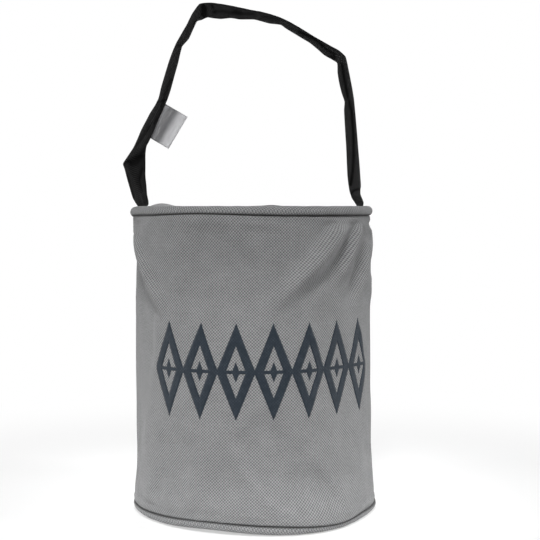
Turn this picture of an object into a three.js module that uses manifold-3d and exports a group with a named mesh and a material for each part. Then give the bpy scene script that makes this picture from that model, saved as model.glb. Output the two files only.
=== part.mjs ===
// Weighted fabric door stop: a filled cloth cylinder with a piped seam at the rim and at the foot,
// a cloth carrying loop with a blank care label, and a printed band of lozenges on the front.
// Millimetres, Z up. The origin is the centre of the underside. A bearing is an angle round the
// body in degrees: 0 at the front, which faces -Y, and positive towards +X.
import * as THREE from "three";
import { LoftGeometry } from "three/addons/geometries/LoftGeometry.js";
import { mergeVertices } from "three/addons/utils/BufferGeometryUtils.js";
import Module from "manifold-3d";

const wasm = await Module();
wasm.setup();

// Clearance between pieces that touch.
const CLEARANCE = 0.3;

// Body: the cloth cylinder, its seams and its filling.
const BODY_RADIUS = 68.4;
const BODY_HEIGHT = 176;
const CLOTH_THICKNESS = 1.2;
const PIPING_DIAMETER = 5.6;
const PIPING_STANDS_PROUD = 1.6;
const BASE_FLAT_RADIUS = 57;
const TOP_PANEL_DROP = 1.2;
const TOP_PANEL_FALL = 1.6;
const SAND_DEPTH = 46;
const SAND_EDGE = 8;
const SAND_SLACK = 0.6;
const FIBRE_SLACK = 3.4;

// Rim and foot: the small ways in which the sewn rings are out of true.
const RIM_BULGE = { bearing: -90, spread: 28, out: 1.2 };
const RIM_TUCK = { bearing: 90, spread: 28, out: -0.7 };
const RIM_DIP = { bearing: -90, spread: 12, up: -1.0 };
const PIPING_JOINT = { bearing: 174, spread: 5, up: 0.7 };
const FOOT_SHAPE = [
  { bearing: 30, spread: 24, out: 4.4 },
  { bearing: 66, spread: 14, out: -0.4 },
  { bearing: -38, spread: 41, out: -2.4 },
];
const FOOT_LIFT = { bearing: -76, spread: 20, up: 0.5 };
const FOOT_BLEND = 46;
const RIM_BLEND = 24;

// Top panel: the puff beside the left end of the loop.
const PUFF = { bearing: -71, spread: 12, radius: 57, reach: 5.5, up: 3.6 };

// Folds of the side panel. Each runs from one point to another, given as bearing and drop below
// the rim, and stands out (or in, where it is negative) by its height.
const FOLDS = [
  { from: [44, 6], to: [10, 52], height: 2.6, width: 6.5 },
  { from: [50, 14], to: [18, 54], height: -2.9, width: 5.5 },
  { from: [57, 10], to: [43, 36], height: 1.7, width: 4.2 },
  { from: [50, 42], to: [44, 58], height: -1.6, width: 8 },
  { from: [78, 16], to: [74, 60], height: 0.9, width: 12 },
  { from: [-70, 16], to: [-57, 25], height: 1.2, width: 4.4 },
  { from: [-57, 25], to: [-44, 52], height: 1.9, width: 5 },
  { from: [-76, 28], to: [-66, 56], height: -2.1, width: 6.5 },
  { from: [-28, 46], to: [12, 44], height: -2.2, width: 24 },
  { from: [-12, 150], to: [-4, 158], height: -1.1, width: 11 },
  { from: [28, 152], to: [36, 160], height: -0.9, width: 10 },
  { from: [136, 12], to: [158, 50], height: 1.7, width: 8 },
  { from: [-134, 10], to: [-162, 54], height: 1.9, width: 8 },
  { from: [-122, 30], to: [-140, 62], height: -1.6, width: 9 },
  { from: [168, 50], to: [-172, 54], height: -1.8, width: 22 },
];
const SEAM_FADE = 9;

// Carrying loop: the cloth band, and the two edges it shows, from the left end to the right end.
// Each row gives the outer edge and then the inner edge as across (from the middle of the body),
// back (away from the front) and rise (above the rim). The first and last rows lie in the seam.
const BAND_WIDTH = 12.4;
const BAND_THICKNESS = 2;
const BAND_MOST_THICKNESS = 4.6;
const BAND_TUCK = 8;
const BAND_CREASE_DEPTH = 0.7;
const BAND_CREASE_WIDTH = 0.3;
const BAND_FULLNESS = 0.8;
const LOOP_RISE = 117.5;
const LOOP_EDGES = [
  [[-64.3, 6.2, -2.7], [-64.3, -6.2, -2.7]],
  [[-66.4, 4.8, 1.4], [-60.7, -5.2, 1.4]],
  [[-69.8, 4.0, 4.2], [-61.9, -4.6, 3.6]],
  [[-71.8, 2.8, 8.6], [-61.9, -3.4, 8.4]],
  [[-74.1, 1.2, 17.5], [-62.8, -1.4, 17.2]],
  [[-75.7, 0.4, 25.2], [-63.1, -0.4, 25.6]],
  [[-73.4, -0.6, 29.8], [-63.0, 0.4, 32.8]],
  [[-68.6, -1.0, 36.2], [-61.4, 0.8, 37.4]],
  [[-64.2, -0.8, 45.0], [-57.4, 0.8, 43.0]],
  [[-58.8, -0.4, 55.6], [-52.8, 0.8, 53.2]],
  [[-55.8, 0.0, 62.2], [-50.0, 0.8, 60.4]],
  [[-53.2, 0.6, 73.6], [-47.0, 0.8, 71.8]],
  [[-49.1, 1.2, 86.4], [-43.6, 1.0, 84.6]],
  [[-45.7, 1.6, 94.8], [-41.2, 1.2, 93.0]],
  [[-39.7, 1.8, 105.0], [-34.8, 1.6, 102.8]],
  [[-34.4, 1.8, 113.4], [-31.9, 2.0, 106.6]],
  [[-30.2, 1.4, 118.6], [-29.8, 2.4, 107.6]],
  [[-22.8, 0.8, 118.8], [-23.9, 2.6, 109.8]],
  [[-11.7, 0.6, 116.8], [-12.6, 2.2, 109.4]],
  [[1.2, 0.8, 113.9], [0.6, 1.6, 108.6]],
  [[9.9, 1.0, 112.0], [8.8, 1.2, 106.8]],
  [[18.2, 1.0, 109.4], [16.4, 1.0, 104.6]],
  [[27.6, 1.0, 104.0], [25.2, 1.0, 99.6]],
  [[36.8, 1.2, 98.0], [34.4, 1.0, 93.6]],
  [[45.6, 1.4, 93.4], [42.4, 0.8, 87.6]],
  [[52.4, 1.4, 89.4], [47.4, 0.6, 84.0]],
  [[54.9, 1.4, 84.0], [49.2, 0.4, 80.6]],
  [[56.4, 1.2, 75.9], [49.6, 0.4, 75.0]],
  [[58.1, 1.0, 66.6], [51.6, 0.6, 67.0]],
  [[59.1, 0.8, 60.7], [53.6, 0.6, 60.7]],
  [[60.2, 0.6, 52.4], [53.2, 0.4, 52.2]],
  [[61.3, 0.2, 35.6], [53.9, 0.2, 35.6]],
  [[62.4, -0.4, 21.0], [54.9, 0.4, 21.0]],
  [[62.8, -2.0, 11.0], [55.8, 2.0, 11.0]],
  [[62.6, -4.0, 5.6], [57.8, 4.2, 5.4]],
  [[64.0, -5.2, 1.4], [60.6, 5.2, 1.4]],
  [[62.4, -6.2, -2.7], [62.4, 6.2, -2.7]],
];
const SECTIONS_PER_STATION = 2;
const BAND_SIDES = 8;

// Care label: a ribbon folded in half, its ends caught in the inner edge of the loop between
// two of the loop's rows. It leans out from that edge by some degrees, and hangs a little lower.
const LABEL_ROWS = [8, 10];
const LABEL_WIDTH = 21.6;
const LABEL_REACH = 14.8;
const LABEL_LEAN = 7;
const LABEL_DROP = 2.2;
const RIBBON_THICKNESS = 0.3;
const RIBBON_GAP = 0.5;

// Print: one chain of hollow lozenges on a thin line, with a small solid lozenge in each.
const PRINT_COUNT = 7;
const PRINT_LENGTH = 138;
const PRINT_HEIGHT = 52;
const PRINT_MIDDLE = 88;
const PRINT_BEARING = 9;
const PRINT_STROKE = 4.3;
const PRINT_NECK = 2.4;
const PRINT_LINE = 1.8;
const PRINT_HEART_HEIGHT = 11;
const PRINT_THICKNESS = 0.4;
const PRINT_LIFT = 0.7;

// Fineness of the surfaces.
const SIDES_ROUND = 48;
const WALL_ROWS = 21;
const PIPING_SIDES = 8;

// Sizes that follow from the ones above.
const PIPING_RADIUS = PIPING_DIAMETER / 2;
const PIPING_RING = BODY_RADIUS + PIPING_STANDS_PROUD - PIPING_RADIUS;
const INNER_RADIUS = BODY_RADIUS - CLOTH_THICKNESS;
const SAND_RADIUS = INNER_RADIUS - SAND_SLACK;
const FIBRE_RADIUS = INNER_RADIUS - FIBRE_SLACK;
const PANEL_RADIUS = PIPING_RING - PIPING_RADIUS - CLEARANCE;
const WALL_BOTTOM = PIPING_DIAMETER + CLEARANCE;
const WALL_TOP = BODY_HEIGHT - PIPING_DIAMETER - CLEARANCE;
const BAND_SEAT = PANEL_RADIUS - BAND_THICKNESS / 2;

const smoothstep = THREE.MathUtils.smoothstep;

function bell(distance, spread) {
  return Math.exp(-((distance / spread) ** 2));
}

function bearingGap(a, b) {
  return THREE.MathUtils.euclideanModulo(a - b + 180, 360) - 180;
}

function arcLength(degrees) {
  return THREE.MathUtils.degToRad(degrees) * BODY_RADIUS;
}

// How far one fold moves the cloth at a place: the nearer its line, the more.
function foldShift(fold, bearing, drop) {
  const alongArc = arcLength(bearingGap(fold.to[0], fold.from[0]));
  const alongDrop = fold.to[1] - fold.from[1];
  const arc = arcLength(bearingGap(bearing, fold.from[0]));
  const fall = drop - fold.from[1];
  const length2 = alongArc ** 2 + alongDrop ** 2;
  const share = THREE.MathUtils.clamp((arc * alongArc + fall * alongDrop) / length2, 0, 1);
  const away = Math.hypot(arc - share * alongArc, fall - share * alongDrop);
  return fold.height * bell(away, fold.width);
}

// Outward shift of the sewn cover at a bearing and height.
function coverOut(bearing, z) {
  const belowRim = smoothstep(BODY_HEIGHT - z, PIPING_DIAMETER, PIPING_DIAMETER + SEAM_FADE);
  const aboveFoot = smoothstep(z, PIPING_DIAMETER, PIPING_DIAMETER + SEAM_FADE);
  let out = 0;
  for (const fold of FOLDS) {
    out += foldShift(fold, bearing, BODY_HEIGHT - z) * belowRim * aboveFoot;
  }
  const nearRim = 1 - smoothstep(BODY_HEIGHT - z, 0, RIM_BLEND);
  for (const ring of [RIM_BULGE, RIM_TUCK]) {
    out += nearRim * ring.out * bell(bearingGap(bearing, ring.bearing), ring.spread);
  }
  const nearFoot = 1 - smoothstep(z, 0, FOOT_BLEND);
  for (const ring of FOOT_SHAPE) {
    out += nearFoot * ring.out * bell(bearingGap(bearing, ring.bearing), ring.spread);
  }
  return out;
}

// Upward shift of the sewn cover at a bearing, height and radius.
function coverUp(bearing, z, radius) {
  const nearRim = 1 - smoothstep(BODY_HEIGHT - z, 0, RIM_BLEND);
  const nearFoot = 1 - smoothstep(z, 0, RIM_BLEND);
  const outside = smoothstep(radius, BASE_FLAT_RADIUS, PANEL_RADIUS);
  const dip = RIM_DIP.up * bell(bearingGap(bearing, RIM_DIP.bearing), RIM_DIP.spread);
  const lift = FOOT_LIFT.up * bell(bearingGap(bearing, FOOT_LIFT.bearing), FOOT_LIFT.spread);
  const aside = arcLength(bearingGap(bearing, PUFF.bearing));
  const puff = PUFF.up * bell(aside, PUFF.spread) * bell(radius - PUFF.radius, PUFF.reach);
  const inside = radius < PIPING_RING - PIPING_RADIUS ? 1 : 0;
  return outside * (nearRim * dip + nearFoot * lift) + nearRim * inside * puff;
}

// Gives a round geometry, already Z up, the form of the sewn cover.
function shaped(geometry, extraUp = () => 0) {
  const place = geometry.attributes.position;
  for (let i = 0; i < place.count; i++) {
    const radius = Math.hypot(place.getX(i), place.getY(i));
    const angle = Math.atan2(place.getX(i), -place.getY(i));
    const bearing = THREE.MathUtils.radToDeg(angle);
    const z = place.getZ(i);
    const moved = radius + coverOut(bearing, z) * Math.min(1, radius / SAND_RADIUS);
    const up = coverUp(bearing, z, radius) + extraUp(bearing);
    place.setXYZ(i, moved * Math.sin(angle), -moved * Math.cos(angle), z + up);
  }
  return geometry;
}

// A body of revolution from a profile of [radius, height] points, stood Z up.
function turned(profile) {
  const points = profile.map(([radius, height]) => new THREE.Vector2(radius, height));
  return new THREE.LatheGeometry(points, SIDES_ROUND).rotateX(Math.PI / 2);
}

function wallLevels(low, high) {
  const step = (WALL_TOP - WALL_BOTTOM) / WALL_ROWS;
  const levels = [];
  for (let row = 0; row <= WALL_ROWS; row++) {
    const level = WALL_BOTTOM + row * step;
    if (level >= low && level <= high) levels.push(level);
  }
  return levels;
}

function sidePanel() {
  const levels = wallLevels(WALL_BOTTOM - CLEARANCE, WALL_TOP + CLEARANCE);
  const outside = levels.map((z) => [BODY_RADIUS, z]);
  const inside = levels.map((z) => [INNER_RADIUS, z]).reverse();
  return shaped(turned([...outside, ...inside, outside[0]]));
}

// Heights of the top panel's upper face, from the middle to the seam.
function topPanelFace() {
  const flat = BODY_HEIGHT - TOP_PANEL_DROP;
  return [
    [0, flat],
    [PUFF.radius - 3 * PUFF.reach, flat],
    [PUFF.radius - 1.5 * PUFF.reach, flat],
    [PUFF.radius - 0.5 * PUFF.reach, flat - TOP_PANEL_FALL / 8],
    [PUFF.radius + 0.4 * PUFF.reach, flat - TOP_PANEL_FALL / 2],
    [PANEL_RADIUS - CLOTH_THICKNESS, flat - TOP_PANEL_FALL],
    [PANEL_RADIUS, BODY_HEIGHT - PIPING_RADIUS - CLOTH_THICKNESS / 2],
  ];
}

function topPanel() {
  const face = topPanelFace();
  const under = face.map(([radius, z]) => [radius, z - CLOTH_THICKNESS]);
  return shaped(turned([...under, ...face.reverse()]));
}

// The base panel is flat inside BASE_FLAT_RADIUS and turns up to the seam outside it.
function basePanel() {
  const edge = PIPING_RADIUS;
  const turn = PANEL_RADIUS - CLOTH_THICKNESS;
  return shaped(turned([
    [0, 0],
    [BASE_FLAT_RADIUS, 0],
    [turn, (edge - CLOTH_THICKNESS) / 2],
    [PANEL_RADIUS, edge - CLOTH_THICKNESS],
    [PANEL_RADIUS, edge],
    [turn, (edge + 1.5 * CLOTH_THICKNESS) / 2],
    [BASE_FLAT_RADIUS, CLOTH_THICKNESS],
    [0, CLOTH_THICKNESS],
  ]));
}

function pipingRing(middle, extraUp) {
  const ring = new THREE.TorusGeometry(PIPING_RING, PIPING_RADIUS, PIPING_SIDES, SIDES_ROUND);
  ring.translate(0, 0, middle);
  return shaped(ring, extraUp);
}

function topPiping() {
  const joint = (bearing) =>
    PIPING_JOINT.up * bell(bearingGap(bearing, PIPING_JOINT.bearing), PIPING_JOINT.spread);
  return pipingRing(BODY_HEIGHT - PIPING_RADIUS, joint);
}

function basePiping() {
  return pipingRing(PIPING_RADIUS);
}

// The sealed sand bag lies on the base panel, slumped against the side panel.
function sandBag() {
  const floor = CLOTH_THICKNESS + CLEARANCE;
  const levels = wallLevels(floor + SAND_EDGE, SAND_DEPTH - SAND_EDGE);
  return shaped(turned([
    [0, floor],
    [BASE_FLAT_RADIUS - CLOTH_THICKNESS, floor],
    [PANEL_RADIUS - 2 * CLOTH_THICKNESS, floor + 0.3 * SAND_EDGE],
    [SAND_RADIUS - 0.1 * SAND_EDGE, floor + 0.9 * SAND_EDGE],
    ...levels.map((z) => [SAND_RADIUS, z]),
    [SAND_RADIUS - 0.25 * SAND_EDGE, SAND_DEPTH - 0.4 * SAND_EDGE],
    [SAND_RADIUS - SAND_EDGE, SAND_DEPTH],
    [0, SAND_DEPTH],
  ]));
}

// The stuffing fills the rest, from the sand bag up to the top panel.
function fibreFilling() {
  const floor = SAND_DEPTH + CLEARANCE;
  const levels = wallLevels(floor + FIBRE_SLACK, WALL_TOP - FIBRE_SLACK);
  const lid = topPanelFace().reverse().slice(2);
  return shaped(turned([
    [0, floor],
    [FIBRE_RADIUS - FIBRE_SLACK, floor],
    ...levels.map((z) => [FIBRE_RADIUS, z]),
    ...lid.map(([radius, z]) => [radius, z - CLOTH_THICKNESS - FIBRE_SLACK]),
  ]));
}

// Both edges of the band as points, with the ends tucked down behind the seam.
function bandEdges(grow) {
  const tallest = Math.max(...LOOP_EDGES.map(([outer]) => outer[2]));
  const seats = [-90, 90].map((bearing) => BAND_SEAT + coverOut(bearing, BODY_HEIGHT));
  const spreads = [-seats[0] / LOOP_EDGES[0][0][0], seats[1] / LOOP_EDGES.at(-1)[0][0]];
  return [0, 1].map((side) => {
    const edge = LOOP_EDGES.map((row) => {
      const [across, back, rise] = row[side];
      const spread = spreads[across < 0 ? 0 : 1];
      return new THREE.Vector3(across * spread, back, BODY_HEIGHT + rise * LOOP_RISE / tallest);
    });
    const tuck = new THREE.Vector3(0, 0, -BAND_TUCK - grow);
    return [edge[0].clone().add(tuck), ...edge, edge.at(-1).clone().add(tuck)];
  });
}

// One section of the band: a flat oval with a crease along the front where the cloth is rolled.
function bandSection(outer, inner, forward, grow) {
  const wide = outer.clone().sub(inner);
  const width = wide.length();
  wide.normalize();
  const face = forward.clone().cross(wide).normalize();
  const area = BAND_WIDTH * BAND_THICKNESS;
  const thickness = Math.min(BAND_MOST_THICKNESS, area / width);
  const rolled = THREE.MathUtils.clamp(1 - width / BAND_WIDTH, 0, 1);
  const middle = outer.clone().add(inner).multiplyScalar(0.5);
  const points = [];
  for (let i = 0; i < BAND_SIDES; i++) {
    const angle = (i / BAND_SIDES) * 2 * Math.PI;
    const across = Math.sign(Math.cos(angle)) * Math.abs(Math.cos(angle)) ** BAND_FULLNESS;
    const front = Math.sin(angle) > 0 ? BAND_CREASE_DEPTH * rolled : 0;
    const crease = 1 - front * bell(across, BAND_CREASE_WIDTH);
    const point = middle.clone();
    point.addScaledVector(wide, across * (width / 2 + grow));
    point.addScaledVector(face, Math.sin(angle) * (thickness / 2 + grow) * crease);
    points.push(point);
  }
  return points;
}

function band(grow = 0) {
  const smoothed = (points) => new THREE.CatmullRomCurve3(points, false, "centripetal");
  const curves = bandEdges(grow).map(smoothed);
  const stations = curves[0].points.length - 1;
  const steps = stations * SECTIONS_PER_STATION;
  const rows = [];
  for (let step = 0; step <= steps; step++) {
    rows.push(curves.map((curve) => curve.getPoint(step / steps)));
  }
  const middles = rows.map(([outer, inner]) => outer.clone().add(inner).multiplyScalar(0.5));
  const sections = rows.map(([outer, inner], i) => {
    const ahead = middles[Math.min(i + 1, steps)];
    const behind = middles[Math.max(i - 1, 0)];
    return bandSection(outer, inner, ahead.clone().sub(behind), grow);
  });
  return new LoftGeometry(sections, { closed: true, capStart: true, capEnd: true });
}

function labelRibbon() {
  const half = RIBBON_GAP / 2;
  const outer = half + RIBBON_THICKNESS;
  const bend = LABEL_REACH - outer;
  const ribbon = new THREE.Shape();
  ribbon.moveTo(0, -outer);
  ribbon.lineTo(bend, -outer);
  ribbon.absarc(bend, 0, outer, -Math.PI / 2, Math.PI / 2, false);
  ribbon.lineTo(0, outer);
  ribbon.lineTo(0, half);
  ribbon.lineTo(bend, half);
  ribbon.absarc(bend, 0, half, Math.PI / 2, -Math.PI / 2, true);
  ribbon.lineTo(0, -half);
  ribbon.closePath();
  const options = { depth: LABEL_WIDTH, bevelEnabled: false, curveSegments: 4 };
  return new THREE.ExtrudeGeometry(ribbon, options);
}

// Stands the label on the inner edge of the band, and trims it to that edge.
function careLabel() {
  const inner = bandEdges(0)[1];
  const [low, high] = LABEL_ROWS.map((row) => inner[row + 1]);
  const rise = high.clone().sub(low);
  const middle = low.clone().add(high).multiplyScalar(0.5);
  const lean = THREE.MathUtils.degToRad(LABEL_LEAN);
  const tucked = CLEARANCE - LABEL_WIDTH / 2 * Math.sin(lean);
  const seat = new THREE.Vector3(tucked, 0, -LABEL_WIDTH / 2 - LABEL_DROP);
  const turn = new THREE.Euler(0, Math.atan2(rise.x, rise.z) + lean, 0);
  const place = middle.add(seat.applyEuler(turn));
  return withBandSlots(labelRibbon().rotateY(turn.y).translate(place.x, place.y, place.z));
}

// One hollow lozenge with its piece of the thin line and the small solid lozenge on it.
function lozengeShape(pitch) {
  const apex = PRINT_HEIGHT / 2;
  const slope = apex / (pitch / 2);
  const neck = PRINT_NECK / 2;
  const side = pitch / 2 + CLEARANCE;
  const top = apex - PRINT_STROKE * Math.hypot(slope, 1);
  const line = PRINT_LINE / 2;
  const heart = PRINT_HEART_HEIGHT / 2;
  const wide = (top - line) / slope;
  const heartWide = (heart - line) / slope;
  const outline = [[side, -neck], [side, neck], [0, apex], [-side, neck], [-side, -neck], [0, -apex]];
  const opening = [[-wide, line], [0, top], [wide, line], [heartWide, line], [0, heart], [-heartWide, line]];
  const shape = new THREE.Shape(outline.map(([x, y]) => new THREE.Vector2(x, y)));
  for (const half of [1, -1]) {
    shape.holes.push(new THREE.Path(opening.map(([x, y]) => new THREE.Vector2(x, half * y))));
  }
  return shape;
}

// The ink: a thin skin over the cloth, left only where the lozenges lie.
function printedBand() {
  const pitch = PRINT_LENGTH / PRINT_COUNT;
  const reach = 0.8 * PRINT_HEIGHT;
  const levels = wallLevels(PRINT_MIDDLE - reach, PRINT_MIDDLE + reach).filter((_, i) => i % 2 === 0);
  const under = BODY_RADIUS + PRINT_LIFT;
  const over = under + PRINT_THICKNESS;
  const outside = levels.map((z) => [over, z]);
  const inside = levels.map((z) => [under, z]).reverse();
  const skin = solidOf(shaped(turned([...outside, ...inside, outside[0]])));
  const depth = 4 * PIPING_DIAMETER;
  let pattern = null;
  for (let i = 0; i < PRINT_COUNT; i++) {
    const along = (i - (PRINT_COUNT - 1) / 2) * pitch;
    const prism = new THREE.ExtrudeGeometry(lozengeShape(pitch), { depth, bevelEnabled: false });
    prism.translate(0, 0, BODY_RADIUS - depth / 2);
    prism.rotateX(Math.PI / 2);
    prism.rotateZ(THREE.MathUtils.degToRad(PRINT_BEARING) + along / BODY_RADIUS);
    prism.translate(0, 0, PRINT_MIDDLE);
    const stamp = solidOf(prism);
    pattern = pattern ? pattern.add(stamp) : stamp;
  }
  return geometryOf(skin.intersect(pattern));
}

// Geometry to solid and back, for cuts and joins.
function solidOf(geometry) {
  const bare = new THREE.BufferGeometry();
  bare.setAttribute("position", geometry.attributes.position);
  bare.setIndex(geometry.index);
  const merged = mergeVertices(bare, 1e-4);
  return new wasm.Manifold(new wasm.Mesh({
    numProp: 3,
    vertProperties: merged.attributes.position.array,
    triVerts: new Uint32Array(merged.index.array),
  }));
}

function geometryOf(solid) {
  const mesh = solid.getMesh();
  const geometry = new THREE.BufferGeometry();
  geometry.setAttribute("position", new THREE.BufferAttribute(mesh.vertProperties, 3));
  geometry.setIndex(new THREE.BufferAttribute(mesh.triVerts, 1));
  geometry.computeVertexNormals();
  return geometry;
}

function withBandSlots(geometry) {
  return geometryOf(solidOf(geometry).subtract(solidOf(band(CLEARANCE))));
}

const greyCloth = { color: 0x8b8c8c, roughness: 0.9 };
const blackCloth = { color: 0x1f1f20, roughness: 0.85 };
const satin = { color: 0xd9d9dc, roughness: 0.35 };
const navyInk = { color: 0x2f3944, roughness: 0.8 };
const innerCloth = { color: 0xc9c2b0, roughness: 0.9 };
const fibre = { color: 0xf0efe9, roughness: 1 };

const doorStop = new THREE.Group();

function add(name, geometry, look) {
  const mesh = new THREE.Mesh(geometry, new THREE.MeshStandardMaterial({ ...look, metalness: 0 }));
  mesh.name = name;
  doorStop.add(mesh);
  return mesh;
}

add("side_panel", sidePanel(), greyCloth);
add("top_panel", withBandSlots(topPanel()), greyCloth);
add("base_panel", basePanel(), greyCloth);
add("top_piping", topPiping(), greyCloth);
add("base_piping", basePiping(), greyCloth);
add("sand_bag", sandBag(), innerCloth);
add("fibre_filling", withBandSlots(fibreFilling()), fibre);
add("handle", band(), blackCloth);
add("care_label", careLabel(), satin);
add("print", printedBand(), navyInk);

export default doorStop;
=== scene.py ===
# %% [markdown]
# # A weighted fabric door stop
# A cloth cylinder filled with sand and stuffing stands on the floor. Its two seams are piped, a
# black cloth loop is caught in the upper seam, a blank satin label hangs from the loop, and a
# band of lozenges is printed on the front.
# The solid parts come in as a fixed frame. This lesson dresses them: each cloth piece is made
# again in the space that its solid holds, with a weave, and with folds placed as in the
# photograph in front and guessed behind.

# %% Load the frame
import math

import bpy
import numpy as np
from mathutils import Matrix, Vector, noise


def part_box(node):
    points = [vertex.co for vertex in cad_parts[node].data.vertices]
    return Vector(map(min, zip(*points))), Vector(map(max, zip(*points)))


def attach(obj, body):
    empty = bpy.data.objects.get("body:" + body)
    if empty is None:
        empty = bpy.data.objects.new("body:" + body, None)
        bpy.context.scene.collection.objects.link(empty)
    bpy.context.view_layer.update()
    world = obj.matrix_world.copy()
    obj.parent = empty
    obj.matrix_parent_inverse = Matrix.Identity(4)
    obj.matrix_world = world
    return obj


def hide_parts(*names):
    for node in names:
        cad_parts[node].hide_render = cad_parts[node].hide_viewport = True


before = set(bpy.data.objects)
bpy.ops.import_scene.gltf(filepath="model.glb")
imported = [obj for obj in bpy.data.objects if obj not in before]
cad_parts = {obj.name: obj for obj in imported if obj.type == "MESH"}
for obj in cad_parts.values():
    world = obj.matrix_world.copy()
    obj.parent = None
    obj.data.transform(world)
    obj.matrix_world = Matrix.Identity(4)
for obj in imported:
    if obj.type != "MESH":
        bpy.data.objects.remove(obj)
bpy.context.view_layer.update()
print("solids:", sorted(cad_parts))

# %% [markdown]
# ## Sizes
# A sewn thing is measured in millimetres, and Blender works in metres, so sizes are written in
# millimetres and multiplied once. The height is that of the body without its loop, and the
# radius is that of the cloth between its folds. The box of the solid is printed beside them.

# %% Sizes of the body
MM = 0.001
BODY_RADIUS = 68.4
BODY_HEIGHT = 176.0
CLOTH_THICKNESS = 1.2
PIPING_RADIUS = 2.8
PIPING_STANDS_PROUD = 1.6
PIPING_RING = BODY_RADIUS + PIPING_STANDS_PROUD - PIPING_RADIUS
PANEL_RADIUS = PIPING_RING - PIPING_RADIUS - 0.3
BASE_FLAT_RADIUS = 57.0
side_low, side_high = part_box("side_panel")
print("side panel box in mm:", [round(v / MM, 1) for v in (*side_low, *side_high)])

# %% [markdown]
# ## Camera
# The photograph was taken from the height of the rim, so the top panel is seen edge on, and from
# far enough away that the sides stay upright. The camera looks a little down and to the right,
# which puts the body left of the middle, as in the photograph.

# %% Camera
CAMERA_DISTANCE = 0.71
CAMERA_HEIGHT = 0.176
FRAME_PIXELS = 540
FOCAL_PIXELS = 1216
BODY_AXIS_PIXEL = 253
HORIZON_PIXEL = 206
SENSOR_WIDTH = 36.0


def placed(name, data):
    """A new object in the scene, made of this data."""
    thing = bpy.data.objects.new(name, data)
    bpy.context.scene.collection.objects.link(thing)
    return thing


camera_data = bpy.data.cameras.new("camera")
camera_data.sensor_width = SENSOR_WIDTH
camera_data.lens = FOCAL_PIXELS / FRAME_PIXELS * SENSOR_WIDTH
camera = placed("camera", camera_data)
camera.location = (0, -CAMERA_DISTANCE, CAMERA_HEIGHT)
aside = (FRAME_PIXELS / 2 - BODY_AXIS_PIXEL) / FOCAL_PIXELS
down = (FRAME_PIXELS / 2 - HORIZON_PIXEL) / FOCAL_PIXELS
camera.rotation_euler = (math.pi / 2 - math.atan(down), 0, -math.atan(aside))
bpy.context.scene.camera = camera
print("lens", round(camera_data.lens, 1), "mm")

# %% [markdown]
# ## The form of the sewn cover
# Slack cloth folds where it is pulled, and here the two ends of the loop pull the rim. A cloth
# simulation gives folds, but not these folds. So each fold is a line on the unrolled cloth with
# a height and a width, and the cloth stands out (or in) near the line. Every piece that is sewn
# to the cover reads the same form, so the seams stay together.

# %% Folds and seams
def bell(distance, spread):
    """1 on the spot, falling to nothing within about two spreads."""
    return np.exp(-(distance / spread) ** 2)


def step(value, low, high):
    """0 below low, 1 above high, and a smooth ramp between."""
    share = np.clip((value - low) / (high - low), 0, 1)
    return share * share * (3 - 2 * share)


def bearing_gap(a, b):
    """Degrees from bearing b to bearing a, the short way round."""
    return (a - b + 180) % 360 - 180


def arc(degrees):
    return np.radians(degrees) * BODY_RADIUS


# Each fold: from and to as (bearing, drop below the rim), then height and width.
FOLDS = [
    ((53, 2), (5, 58), 5.4, 5.0),
    ((58, 10), (16, 60), -2.1, 5),
    ((64, 4), (39, 47), 4.2, 3.4),
    ((70, 18), (47, 62), -3.8, 5.2),
    ((79, 8), (74, 66), 1.0, 12),
    ((-76, 8), (-40, 66), 3.4, 4.2),
    ((-84, 18), (-60, 70), -2.6, 6.5),
    ((-44, 46), (30, 43), -3.6, 24),
    ((-24, 145), (2, 156), -2.6, 11),
    ((16, 146), (46, 157), -2.6, 10),
    ((88, 100), (88, 176), 1.4, 26),
    ((118, 4), (160, 60), 3.0, 6),
    ((112, 12), (148, 66), -1.8, 7),
    ((-118, 4), (-166, 64), 3.2, 6),
    ((-108, 20), (-142, 72), -2.2, 8),
    ((150, 50), (-150, 54), -3.2, 24),
]
SEAM_FADE = 9.0
RIM_BLEND = 24.0
FOOT_BLEND = 46.0
# Each ring: bearing, spread in degrees, and how far out the seam stands there.
RIM_SHAPE = [(-90, 28, 1.2), (90, 28, -0.7)]
FOOT_SHAPE = [(30, 24, 4.4), (66, 14, -0.4), (88, 20, 1.5), (-38, 41, -2.4)]
RIM_DIP = (-90, 12, -1.0)
FOOT_LIFTS = [(-76, 20, 0.5), (-21, 21, 1.5)]
PUFF = {"bearing": -71, "spread": 20.0, "radius": 55.0, "reach": 8.5, "up": 3.0}


def fold_shift(fold, bearing, drop):
    (from_bearing, from_drop), (to_bearing, to_drop), height, width = fold
    along_arc = arc(bearing_gap(to_bearing, from_bearing))
    along_drop = to_drop - from_drop
    across = arc(bearing_gap(bearing, from_bearing))
    fall = drop - from_drop
    share = np.clip((across * along_arc + fall * along_drop) / (along_arc ** 2 + along_drop ** 2), 0, 1)
    away = np.hypot(across - share * along_arc, fall - share * along_drop)
    taper = (0.35 + 0.65 * step(share, 0, 0.3)) * (1 - 0.92 * step(share, 0.55, 1))
    return height * bell(away, width) * taper


def ring_shift(ring, bearing):
    where, spread, amount = ring
    return amount * bell(bearing_gap(bearing, where), spread)


def cover_out(bearing, z):
    """How far out of round the cover stands, in mm."""
    piping = 2 * PIPING_RADIUS
    seams = step(BODY_HEIGHT - z, piping, piping + SEAM_FADE) * step(z, piping, piping + SEAM_FADE)
    out = sum(fold_shift(fold, bearing, BODY_HEIGHT - z) for fold in FOLDS) * seams
    near_rim = 1 - step(BODY_HEIGHT - z, 0, RIM_BLEND)
    near_foot = 1 - step(z, 0, FOOT_BLEND)
    out = out + near_rim * sum(ring_shift(ring, bearing) for ring in RIM_SHAPE)
    return out + near_foot * sum(ring_shift(ring, bearing) for ring in FOOT_SHAPE)


def foot_lift(bearing):
    return sum(ring_shift(ring, bearing) for ring in FOOT_LIFTS)


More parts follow.
